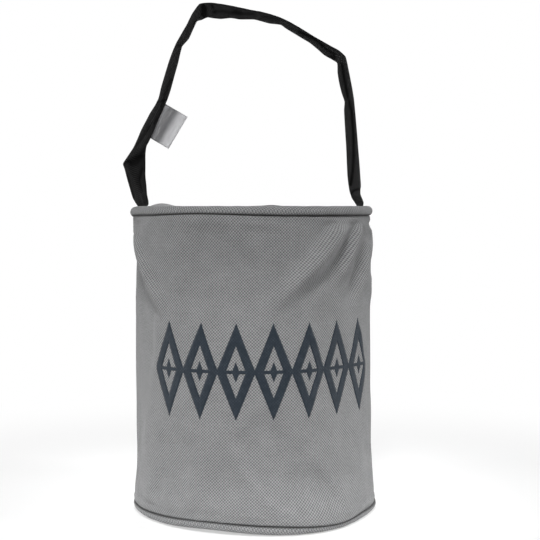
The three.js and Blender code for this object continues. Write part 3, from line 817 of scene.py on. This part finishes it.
care_label, ribbon_length = label_piece()
made_plain(care_label)
print("label ribbon:", round(ribbon_length, 1), "mm long")

# %% [markdown]
# ## Printed band
# Ink is printed on the cloth before it is sewn. It is a chain of hollow lozenges on a thin line,
# with a small solid lozenge in each. Each stroke is a strip of faces between an outer and an
# inner outline, laid on the cover's own form a tenth of a millimetre off the cloth.

# %% Print
PRINT_COUNT = 7
PRINT_LENGTH = 138.0
PRINT_HEIGHT = 52.0
PRINT_MIDDLE = 88.0
PRINT_BEARING = 9.0
PRINT_STROKE = 4.3
PRINT_NECK = 2.4
PRINT_LINE = 1.8
PRINT_HEART_HEIGHT = 11.0
INK_LIFT = 0.12
INK_THICKNESS = 0.1
STROKE_STEPS = 16
STROKE_FACES = 4
PITCH = PRINT_LENGTH / PRINT_COUNT


def on_cloth(x, y):
    """Flat print coordinates in mm to a place on the cloth."""
    bearing = PRINT_BEARING + np.degrees(x / BODY_RADIUS)
    return wall_point(bearing, PRINT_MIDDLE + y, BODY_RADIUS + INK_LIFT)


def strip(verts, faces, outer, inner, closed=True):
    """Faces between two outlines that have as many corners."""
    count = len(outer)
    start = len(verts)
    rows = 0
    for i in range(count if closed else count - 1):
        for along in range(STROKE_STEPS):
            share = along / STROKE_STEPS
            a = outer[i] + (outer[(i + 1) % count] - outer[i]) * share
            b = inner[i] + (inner[(i + 1) % count] - inner[i]) * share
            for w in range(STROKE_FACES + 1):
                verts.append(a + (b - a) * w / STROKE_FACES)
            rows += 1
    if not closed:
        for w in range(STROKE_FACES + 1):
            verts.append(outer[-1] + (inner[-1] - outer[-1]) * w / STROKE_FACES)
        rows += 1
    for i in range(rows if closed else rows - 1):
        for w in range(STROKE_FACES):
            a = start + i * (STROKE_FACES + 1) + w
            b = start + (i + 1) % rows * (STROKE_FACES + 1) + w
            faces.append((a, a + 1, b + 1, b))


def lozenge_outlines():
    apex = PRINT_HEIGHT / 2
    slope = apex / (PITCH / 2)
    neck, side = PRINT_NECK / 2, PITCH / 2
    top = apex - PRINT_STROKE * math.hypot(slope, 1)
    wide = top / slope
    outer = [(side, -neck), (side, neck), (0, apex), (-side, neck), (-side, -neck), (0, -apex)]
    inner = [(wide, 0), (wide, 0), (0, top), (-wide, 0), (-wide, 0), (0, -top)]
    heart = PRINT_HEART_HEIGHT / 2
    line = PRINT_LINE / 2
    heart_wide = (heart - line) / slope
    line_end = (top - line) / slope
    above = [(-wide, 0), (-line_end, line), (-heart_wide, line), (0, heart),
             (heart_wide, line), (line_end, line), (wide, 0)]
    below = [(x, -y) for x, y in above]
    return [[np.array(p, dtype=float) for p in path] for path in (outer, inner, above, below)]


def print_piece():
    outer, inner, above, below = lozenge_outlines()
    verts, faces = [], []
    for i in range(PRINT_COUNT):
        middle = np.array(((i - (PRINT_COUNT - 1) / 2) * PITCH, 0))
        strip(verts, faces, [middle + p for p in outer], [middle + p for p in inner])
        strip(verts, faces, [middle + p for p in below], [middle + p for p in above], closed=False)
    spots = np.array(verts)
    mesh = bpy.data.meshes.new("print_ink")
    mesh.from_pydata([tuple(p) for p in on_cloth(spots[:, 0], spots[:, 1])], [], faces)
    layer = mesh.uv_layers.new(name="cloth")
    along = arc(PRINT_BEARING) + spots[:, 0]
    maps = [(along[v] * MM, (PRINT_MIDDLE + spots[v, 1]) * MM) for f in faces for v in f]
    layer.data.foreach_set("uv", np.array(maps).ravel())
    mesh.polygons.foreach_set("use_smooth", [True] * len(mesh.polygons))
    piece = placed("print_ink", mesh)
    weld = piece.modifiers.new("weld", "WELD")
    weld.merge_threshold = 0.01 * MM
    wall = piece.modifiers.new("ink", "SOLIDIFY")
    wall.thickness = INK_THICKNESS * MM
    wall.offset = 1
    return piece


printed = made_plain(print_piece())
print("print:", len(printed.data.polygons), "faces")

# %% [markdown]
# ## Seam stitches
# A row of stitches holds each seam, down in the groove beside the piping. Stitches repeat along
# a path, so a geometry nodes tree makes them: it walks along a curve, puts a short rounded
# thread at every pitch, and makes each a little larger or smaller by chance, always by the same seed.

# %% A tree for stitches
def stitch_tree():
    tree = bpy.data.node_groups.new("stitches_along_path", "GeometryNodeTree")
    face_in = tree.interface
    face_in.new_socket("Path", in_out="INPUT", socket_type="NodeSocketGeometry")
    for name in ("Pitch", "Thread radius", "Stitch length"):
        face_in.new_socket(name, in_out="INPUT", socket_type="NodeSocketFloat")
    face_in.new_socket("Seed", in_out="INPUT", socket_type="NodeSocketInt")
    face_in.new_socket("Thread", in_out="INPUT", socket_type="NodeSocketMaterial")
    face_in.new_socket("Stitches", in_out="OUTPUT", socket_type="NodeSocketGeometry")
    nodes = tree.nodes
    given = nodes.new("NodeGroupInput")
    result = nodes.new("NodeGroupOutput")
    walk = nodes.new("GeometryNodeCurveToPoints")
    walk.mode = "LENGTH"
    thread = nodes.new("GeometryNodeMeshIcoSphere")
    thread.inputs["Radius"].default_value = 1.0
    thread.inputs["Subdivisions"].default_value = 2
    size = nodes.new("ShaderNodeCombineXYZ")
    half = nodes.new("ShaderNodeMath")
    half.operation = "MULTIPLY"
    half.inputs[1].default_value = 0.5
    chance = nodes.new("FunctionNodeRandomValue")
    chance.data_type = "FLOAT"
    chance.inputs[2].default_value = 0.85
    chance.inputs[3].default_value = 1.15
    vary = nodes.new("ShaderNodeVectorMath")
    vary.operation = "SCALE"
    place = nodes.new("GeometryNodeInstanceOnPoints")
    real = nodes.new("GeometryNodeRealizeInstances")
    dress = nodes.new("GeometryNodeSetMaterial")
    for source, out, target, into in (
        (given, "Path", walk, "Curve"),
        (given, "Pitch", walk, "Length"),
        (given, "Thread radius", size, "X"),
        (given, "Thread radius", size, "Y"),
        (given, "Stitch length", half, 0),
        (half, 0, size, "Z"),
        (given, "Seed", chance, "Seed"),
        (size, 0, vary, 0),
        (chance, 1, vary, "Scale"),
        (walk, "Points", place, "Points"),
        (walk, "Rotation", place, "Rotation"),
        (thread, "Mesh", place, "Instance"),
        (vary, 0, place, "Scale"),
        (place, "Instances", real, "Geometry"),
        (real, "Geometry", dress, "Geometry"),
        (given, "Thread", dress, "Material"),
        (dress, "Geometry", result, "Stitches"),
    ):
        tree.links.new(source.outputs[out], target.inputs[into])
    return tree


STITCHES = stitch_tree()


def path_curve(name, points):
    """A closed curve through points in metres."""
    data = bpy.data.curves.new(name, "CURVE")
    data.dimensions = "3D"
    line = data.splines.new("POLY")
    line.points.add(len(points) - 1)
    for spot, point in zip(line.points, points):
        spot.co = (*point, 1)
    line.use_cyclic_u = True
    return placed(name, data)


def stitched(name, points, pitch, thread_radius, length, seed, material):
    """Stitches along a path, as a plain mesh."""
    curve = path_curve(name + "_path", points)
    maker = curve.modifiers.new("stitches", "NODES")
    maker.node_group = STITCHES
    sockets = {s.name: s.identifier for s in STITCHES.interface.items_tree if s.in_out == "INPUT"}
    values = {"Pitch": pitch * MM, "Thread radius": thread_radius * MM,
              "Stitch length": length * MM, "Seed": seed, "Thread": material}
    for label, value in values.items():
        maker[sockets[label]] = value
    ready = curve.evaluated_get(bpy.context.evaluated_depsgraph_get())
    mesh = bpy.data.meshes.new_from_object(ready)
    mesh.name = name
    piece = placed(name, mesh)
    bpy.data.objects.remove(curve)
    return piece


# %% [markdown]
# ## Shader maths
# A weave is a formula on the flat map of the cloth, so materials are easier to read as
# expressions than as wires. `Value` wraps a socket, and each sum on it adds a Math node.

# %% Values that vary over a surface
class Value:
    def __init__(self, kit, socket):
        self.kit, self.socket = kit, socket

    def math(self, operation, *terms):
        return self.kit.value("ShaderNodeMath", {"operation": operation}, *terms)

    def __add__(self, other):
        return self.math("ADD", self, other)

    def __radd__(self, other):
        return self.math("ADD", other, self)

    def __sub__(self, other):
        return self.math("SUBTRACT", self, other)

    def __rsub__(self, other):
        return self.math("SUBTRACT", other, self)

    def __mul__(self, other):
        return self.math("MULTIPLY", self, other)

    def __rmul__(self, other):
        return self.math("MULTIPLY", other, self)

    def __pow__(self, other):
        return self.math("POWER", self, other)

    def __rpow__(self, other):
        return self.math("POWER", other, self)

    def __abs__(self):
        return self.math("ABSOLUTE", self)

    def sin(self):
        return self.math("SINE", self)

    def ramp(self, low, high, to_low=0.0, to_high=1.0):
        """A smooth step from to_low to to_high."""
        settings = {"interpolation_type": "SMOOTHSTEP", "clamp": True}
        return self.kit.value("ShaderNodeMapRange", settings, self, low, high, to_low, to_high)


# Where a Mix node keeps its two colours and its result.
MIX_FIRST, MIX_SECOND, MIX_COLOR = 6, 7, 2


class Kit:
    """One material, with short ways to add nodes to it."""

    def __init__(self, name):
        self.material = bpy.data.materials.new(name)
        self.material.use_nodes = True
        self.tree = self.material.node_tree
        self.shader = self.tree.nodes["Principled BSDF"]

    def node(self, kind, settings=None, *given, **named):
        node = self.tree.nodes.new(kind)
        for key, value in (settings or {}).items():
            setattr(node, key, value)
        for place, term in [*enumerate(given), *named.items()]:
            self.feed(node.inputs[place], term)
        return node

    def feed(self, socket, term):
        if isinstance(term, Value):
            self.tree.links.new(term.socket, socket)
        else:
            socket.default_value = term

    def value(self, kind, settings=None, *given, **named):
        return Value(self, self.node(kind, settings, *given, **named).outputs[0])

    def flat_map(self, turn=0.0):
        """The piece's flat map in metres, turned about its origin, as two values."""
        spot = self.value("ShaderNodeUVMap", {"uv_map": "cloth"})
        turned = self.node("ShaderNodeMapping", None, spot, Rotation=(0, 0, math.radians(turn)))
        parts = self.node("ShaderNodeSeparateXYZ", None, Value(self, turned.outputs[0]))
        return Value(self, parts.outputs[0]), Value(self, parts.outputs[1]), spot

    def painted_shade_depth(self):
        """How deep the surface lies in a seam or fold, as the piece keeps it, to set the painted shade
        there.
        """
        node = self.node("ShaderNodeAttribute", {"attribute_name": "painted_shade_depth"})
        return Value(self, node.outputs["Fac"])

    def noise(self, where, size, detail=2.0):
        """Cloudy noise, with lumps of this size in metres."""
        node = self.node("ShaderNodeTexNoise", {"noise_dimensions": "3D"}, Vector=where,
                         Scale=1 / size, Detail=detail)
        return Value(self, node.outputs["Fac"])

    def mix(self, share, first, second):
        node = self.node("ShaderNodeMix", {"data_type": "RGBA"}, share)
        self.feed(node.inputs[MIX_FIRST], first)
        self.feed(node.inputs[MIX_SECOND], second)
        return Value(self, node.outputs[MIX_COLOR])

    def set(self, **sockets):
        for name, term in sockets.items():
            self.feed(self.shader.inputs[name.replace("_", " ")], term)

    def object_place(self):
        """The place on the object, in metres."""
        return Value(self, self.node("ShaderNodeTexCoord").outputs["Object"])

    def bump(self, height, distance, strength):
        node = self.node("ShaderNodeBump", None, Height=height, Distance=distance, Strength=strength)
        self.set(Normal=Value(self, node.outputs["Normal"]))


# %% [markdown]
# ## Cloth
# The cover is a plain weave of thick threads. Where the upright threads lie on top the cloth is
# lighter, so from a step away it reads as a lattice of light dots on the slant. The product of
# two sine waves has that very pattern: its sign says which thread is on top, and its size says
# how high the thread bulges. The piping is the same cloth, turned by 12 degrees.

# %% Woven cloth
THREAD = 0.83 * MM
DOT_CONTRAST = 0.9
CLOTH_LIGHT = (0.338, 0.340, 0.343, 1)
CLOTH_DARK = (0.078, 0.080, 0.082, 1)
# The colour of the painted shade in the seams' grooves.
SEAM_PAINTED_SHADE = (0.024, 0.024, 0.024, 1)


def weave(kit, turn=0.0):
    """Which thread is on top, from -1 to 1, and where the flat map is."""
    u, v, spot = kit.flat_map(turn)
    sway = (kit.noise(spot, 2.6 * MM) - 0.5) * (0.5 * THREAD)
    wave_u, wave_v = (((way + sway) * (math.pi / THREAD)).sin() for way in (u, v))
    return wave_u * wave_v, spot


def woven(name, turn=0.0):
    kit = Kit(name)
    over, spot = weave(kit, turn)
    cloud = kit.noise(spot, 9 * MM, 3.0)
    slub = kit.noise(spot, 1.4 * MM, 2.0)
    dots = over.ramp(-0.8, 0.8, 0.5 - DOT_CONTRAST / 2, 0.5 + DOT_CONTRAST / 2)
    share = dots * 0.78 + slub * 0.34 - 0.1 + (cloud - 0.5) * 0.22
    cloth = kit.mix(share, CLOTH_DARK, CLOTH_LIGHT)
    # Painted shade: the cloth's colour goes near black where the piece lies deep in a seam.
    kit.set(Base_Color=kit.mix(kit.painted_shade_depth(), cloth, SEAM_PAINTED_SHADE))
    kit.set(Roughness=0.86, Sheen_Weight=0.16, Sheen_Roughness=0.4, Specular_IOR_Level=0.2)
    kit.bump(abs(over) ** 0.6 + slub * 0.3, 0.00028, 0.5)
    return kit.material


grey_cloth = woven("grey_cloth")
piping_cloth = woven("piping_cloth", turn=12.0)

# %% [markdown]
# ## Ink, twill, satin and thread
# The ink soaks into the same weave, so it shares the cloth's pattern but hides most of its
# colour. The loop is a fine black twill, whose ridges run on the slant. The ribbon is satin,
# smooth along its threads, so it is glossier than the rest.

# %% Ink
INK = (0.013, 0.021, 0.031, 1)
INK_WORN = (0.045, 0.056, 0.072, 1)


def printed_ink():
    kit = Kit("navy_ink")
    over, spot = weave(kit)
    worn = kit.noise(spot, 3.2 * MM, 3.0)
    kit.set(Base_Color=kit.mix(over.ramp(-0.6, 0.9, 0.0, 0.6) * worn.ramp(0.3, 0.75), INK, INK_WORN))
    kit.set(Roughness=0.8, Sheen_Weight=0.1, Specular_IOR_Level=0.25)
    kit.bump(abs(over) ** 0.6, 0.0003, 0.7)
    return kit.material


# %% Twill
TWILL_PITCH = 1.25 * MM
TWILL_LIGHT = (0.074, 0.074, 0.075, 1)
TWILL_DARK = (0.001, 0.001, 0.001, 1)
# The band's colour is darker near its left end, below the kink.
BLACKEST_TO, FULL_TONE_FROM = 38 * MM, 58 * MM
BLACKEST = 0.36
# The colour of the painted shade in the hollows of the band's folds.
CREASE_PAINTED_SHADE = (0.0015, 0.0015, 0.0015, 1)


def black_twill():
    kit = Kit("black_twill")
    u, v, spot = kit.flat_map()
    ridge = ((u * 1.15 + v) * (2 * math.pi / TWILL_PITCH)).sin()
    thread = ((u - v * 0.4) * (2 * math.pi / (TWILL_PITCH * 0.8))).sin()
    lint = kit.noise(spot, 1.2 * MM, 4.0)
    share = ridge.ramp(-0.3, 0.9) * 0.75 + lint * 0.5 - 0.16
    share = share * v.ramp(BLACKEST_TO, FULL_TONE_FROM, BLACKEST, 1.0)
    twill = kit.mix(share, TWILL_DARK, TWILL_LIGHT)
    # Painted shade: the twill turns near black in the hollows of the folds.
    kit.set(Base_Color=kit.mix(kit.painted_shade_depth() * 0.95, twill, CREASE_PAINTED_SHADE))
    kit.set(Roughness=0.72, Sheen_Weight=0.02, Sheen_Roughness=0.5, Specular_IOR_Level=0.14)
    kit.bump(ridge * 0.5 + thread * 0.2 + lint * 0.6, 0.00026, 0.8)
    return kit.material


# %% Satin and thread
RIBBON_RUN = ribbon_length * MM
# How far from each sewn end the painted shade across the ribbon lies.
PAINTED_SHADE_BAND_AT = 5.0 * MM
SATIN_DULL, SATIN_BRIGHT = (0.66, 0.66, 0.68, 1), (0.84, 0.84, 0.86, 1)
SATIN_PAINTED_SHADE = (0.20, 0.20, 0.21, 1)
THREAD_DARK, THREAD_LIGHT = (0.12, 0.12, 0.122, 1), (0.26, 0.26, 0.262, 1)


def satin_ribbon():
    kit = Kit("satin_ribbon")
    u, v, spot = kit.flat_map()
    fine = (v * (2 * math.pi / (0.35 * MM))).sin()
    cloud = kit.noise(spot, 4 * MM, 2.0)
    half = RIBBON_RUN / 2
    reach = half - abs(u - half)
    # Painted shade: a dark stripe across the ribbon on each leaf.
    band = abs(reach - PAINTED_SHADE_BAND_AT).ramp(1.2 * MM, 6.2 * MM, 0.9, 0.0)
    satin = kit.mix(cloud, SATIN_DULL, SATIN_BRIGHT)
    kit.set(Base_Color=kit.mix(band, satin, SATIN_PAINTED_SHADE))
    kit.set(Roughness=cloud.ramp(0.3, 0.7, 0.28, 0.42), Specular_IOR_Level=0.6)
    kit.bump(fine, 0.00004, 0.5)
    return kit.material


def sewing_thread():
    kit = Kit("grey_thread")
    lint = kit.noise(kit.object_place(), 0.6 * MM, 3.0)
    kit.set(Base_Color=kit.mix(lint, THREAD_DARK, THREAD_LIGHT), Roughness=0.6)
    return kit.material


print("materials made:", len(bpy.data.materials))

# %% [markdown]
# ## Put the finishes on, and sew
# Each piece gets its finish. The stitches are made last, because their tree sets its material.

# %% Finishes and stitches
def dress(piece, material):
    piece.data.materials.clear()
    piece.data.materials.append(material)


for piece in (side_panel, top_panel, base_panel):
    dress(piece, grey_cloth)
for piece in (top_piping, base_piping):
    dress(piece, piping_cloth)
dress(handle, black_twill())
dress(care_label, satin_ribbon())
dress(printed, printed_ink())

STITCH_PITCH = 3.2
STITCH_LENGTH = 2.3
THREAD_RADIUS = 0.22
STITCH_DEPTH = 1.9
grey_thread = sewing_thread()
ring_bearings = np.linspace(-180, 180, 240, endpoint=False)
top_stitches, base_stitches = (
    stitched(name, cover_point(ring_bearings, level, BODY_RADIUS - STITCH_DEPTH),
             STITCH_PITCH, THREAD_RADIUS, STITCH_LENGTH, seed, grey_thread)
    for name, level, seed in (("top_seam_stitches", WALL_TOP - 0.4, 3),
                              ("base_seam_stitches", WALL_BOTTOM + 0.3, 8))
)
print("stitches:", len(top_stitches.data.polygons), "faces in a seam")

# %% [markdown]
# ## Tie the pieces to the frame
# Nothing moves on a door stop, so every piece rides on the one body. Each piece stands for the
# solid that it was made from.

# %% Ride and replace
for piece, slot, nodes in (
    (side_panel, "grey_cloth", ["side_panel"]),
    (top_panel, "grey_cloth", ["top_panel"]),
    (base_panel, "grey_cloth", ["base_panel"]),
    (top_piping, "grey_cloth", ["top_piping"]),
    (base_piping, "grey_cloth", ["base_piping"]),
    (handle, "black_cloth", ["handle"]),
    (care_label, "satin_ribbon", ["care_label"]),
    (printed, "navy_ink", ["print"]),
    (top_stitches, "grey_cloth", []),
    (base_stitches, "grey_cloth", []),
):
    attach(piece, "root")
    if nodes:
        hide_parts(*nodes)

# %% [markdown]
# ## What stays out of sight
# The sand bag and the stuffing take the form of the cover from inside: sand slumps against the
# cloth, and stuffing gives way to each fold. Both are made with the same form, a little smaller,
# so that nothing shows through. The bag is coarse calico and the stuffing is loose white fibre.

# %% Inner pieces
SAND_TOP = 46.0
SAND_EDGE = 8.0
SAND_RADIUS = BODY_RADIUS - CLOTH_THICKNESS - 0.9
FIBRE_RADIUS = BODY_RADIUS - CLOTH_THICKNESS - 2.6
FIBRE_EDGE = 4.0
INNER_COLUMNS = 240


def inner_piece(name, profile, lump, lump_size):
    """A closed soft body inside the cover, with lumps that only go inward."""
    bearings = bearings_round(INNER_COLUMNS)
    angle = np.radians(bearings)
    radius, level = columns_of(profile)
    share = step(radius, 15, 60)
    soft = np.array([[noise.noise(Vector((r * math.sin(a), r * math.cos(a), z)) / lump_size)
                      for a in angle] for r, z in profile])
    moved = share * (slack_out(bearings[None, :], level) - lump * (0.5 + 0.5 * soft))
    points = cover_point(bearings[None, :], level, radius + moved)
    return grid_piece(name, points[:, :-1], points[..., :2], poles=True)


def inner_profile(radius, low, high, edge, foot):
    """Rows from the lower pole to the upper one, with rounded edges."""
    turns = np.linspace(0, math.pi / 2, 8)
    rows = [(r, low) for r in np.linspace(0, foot, 12)]
    rows += [(foot + (radius - foot) * math.sin(t), low + edge * (1 - math.cos(t))) for t in turns[1:]]
    rows += [(radius, z) for z in np.arange(low + edge + 2.4, high - edge - 1, 2.4)]
    rows += [(radius - edge * (1 - math.cos(t)), high - edge * (1 - math.sin(t))) for t in turns]
    return rows + [(r, high) for r in np.linspace(radius - edge, 0, 14)[1:]]


bag_rows = inner_profile(SAND_RADIUS, CLOTH_THICKNESS + 0.4, SAND_TOP, SAND_EDGE, BASE_FLAT_RADIUS - 2)
sand_bag = inner_piece("sand_bag_calico", bag_rows, 0.3, 14.0)
fibre_top = TOP_LEVEL - TOP_FALL - CLOTH_THICKNESS - 3.0
fibre_rows = inner_profile(FIBRE_RADIUS, SAND_TOP + 0.5, fibre_top, FIBRE_EDGE, FIBRE_RADIUS - FIBRE_EDGE)
fibre_filling = inner_piece("fibre_filling_tuft", fibre_rows, 0.9, 9.0)


def inner_finish(name, light, dark, size):
    kit = Kit(name)
    cloud = kit.noise(kit.object_place(), size, 4.0)
    kit.set(Base_Color=kit.mix(cloud, dark, light), Roughness=0.9)
    kit.bump(cloud, 0.0006, 0.6)
    return kit.material


for piece, finish, slot, node, fill in (
    (sand_bag, inner_finish("calico_bag", (0.62, 0.57, 0.45, 1), (0.42, 0.37, 0.28, 1), 0.8 * MM),
     "sand", "sand_bag", 0.95),
    (fibre_filling, inner_finish("white_fibre", (0.85, 0.85, 0.82, 1), (0.6, 0.6, 0.57, 1), 3 * MM),
     "fibre", "fibre_filling", 0.6),
):
    dress(piece, finish)
    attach(piece, "root")
    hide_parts(node)
print("inner pieces:", len(sand_bag.data.polygons), len(fibre_filling.data.polygons), "faces")

# %% [markdown]
# ## Light and floor
# The photograph has soft light from all round on pure white. A pale floor catches the shadow,
# and the world behind it is white to the camera. Soft boxes stand in front, at both sides and
# behind, because the edges of the body are as light as its middle. The foot of the body is lighter
# than its shoulder there, so three spotlights with soft edges point down at the foot, and a long
# low lamp in front of it lights the piping.

# %% Floor and world
FLOOR_SIZE = 8.0
FLOOR_DROP = 0.0004
FLOOR_COLOR = (0.88, 0.88, 0.88, 1)
# The floor turns to plain white for the camera between these two distances from the body.
WHITE_FROM, WHITE_AT = 0.16, 0.42


def pale_floor():
    mesh = bpy.data.meshes.new("floor")
    half = FLOOR_SIZE / 2
    corners = [(-half, -half, 0), (half, -half, 0), (half, half, 0), (-half, half, 0)]
    mesh.from_pydata(corners, [], [(0, 1, 2, 3)])
    floor = placed("floor", mesh)
    floor.location.z = -FLOOR_DROP
    kit = Kit("pale_floor")
    kit.set(Base_Color=FLOOR_COLOR, Roughness=0.9, Specular_IOR_Level=0.1)
    measure = kit.node("ShaderNodeVectorMath", {"operation": "LENGTH"}, kit.object_place())
    away = Value(kit, measure.outputs["Value"])
    seen = Value(kit, kit.node("ShaderNodeLightPath").outputs["Is Camera Ray"])
    white = kit.node("ShaderNodeEmission", None, Color=(1, 1, 1, 1), Strength=1.0)
    share = seen * away.ramp(WHITE_FROM, WHITE_AT, 0.55, 1.0)
    mixed = kit.node("ShaderNodeMixShader", None, share, Value(kit, kit.shader.outputs[0]),
                     Value(kit, white.outputs[0]))
    kit.feed(kit.tree.nodes["Material Output"].inputs["Surface"], Value(kit, mixed.outputs[0]))
    dress(floor, kit.material)


def white_world():
    """White to the camera, and dark to everything else."""
    world = bpy.data.worlds.new("white")
    world.use_nodes = True
    tree = world.node_tree
    path = tree.nodes.new("ShaderNodeLightPath")
    back = tree.nodes["Background"]
    back.inputs["Color"].default_value = (1, 1, 1, 1)
    tree.links.new(path.outputs["Is Camera Ray"], back.inputs["Strength"])
    bpy.context.scene.world = world


def lamp(name, kind, place, aim, power, **settings):
    """A lamp that points at a place, and that the camera doesn't see."""
    light = bpy.data.lights.new(name, kind)
    light.energy = power
    for setting, value in settings.items():
        setattr(light, setting, value)
    thing = placed(name, light)
    thing.location = place
    thing.rotation_euler = (Vector(aim) - Vector(place)).to_track_quat("-Z", "Y").to_euler()
    thing.visible_camera = False


def softbox(name, place, aim, width, height, power):
    lamp(name, "AREA", place, aim, power, shape="RECTANGLE", size=width, size_y=height)


def spotlight(name, place, aim, degrees, power):
    lamp(name, "SPOT", place, aim, power, spot_size=math.radians(degrees), spot_blend=1.0,
         shadow_soft_size=SPOT_RADIUS)


def polar(bearing, distance, height):
    angle = math.radians(bearing)
    return (distance * math.sin(angle), -distance * math.cos(angle), height)


# %% Lamps
SPOT_RADIUS = 0.12
BOX_AIM = (0, 0, 0.1)
BOX_SIZE = (0.35, 0.45)

pale_floor()
white_world()
# Each: name, bearing, distance, height, power.
for name, bearing, distance, height, power in (
    ("key", 0, 0.8, 0.8, 2.2),
    ("left_low", -85, 0.8, 0.1, 1.7),
    ("left_back", -110, 0.8, 0.5, 1.4),
    ("right_back", 110, 0.8, 0.5, 1.8),
    ("back", 180, 0.9, 0.6, 7.5),
):
    softbox(name, polar(bearing, distance, height), BOX_AIM, *BOX_SIZE, power)
softbox("front_low", polar(0, 0.9, 0.04), (0, 0, 0.02), 0.7, 0.06, 0.9)
spotlight("spot_front", polar(-5, 0.8, 0.9), (0, -0.06, 0.015), 19, 55)
spotlight("spot_left", polar(-75, 0.8, 0.7), (-0.05, 0, 0.02), 16, 23)
spotlight("spot_right", polar(75, 0.8, 0.7), (0.05, 0, 0.02), 16, 42)
bpy.context.scene.view_settings.view_transform = "Standard"
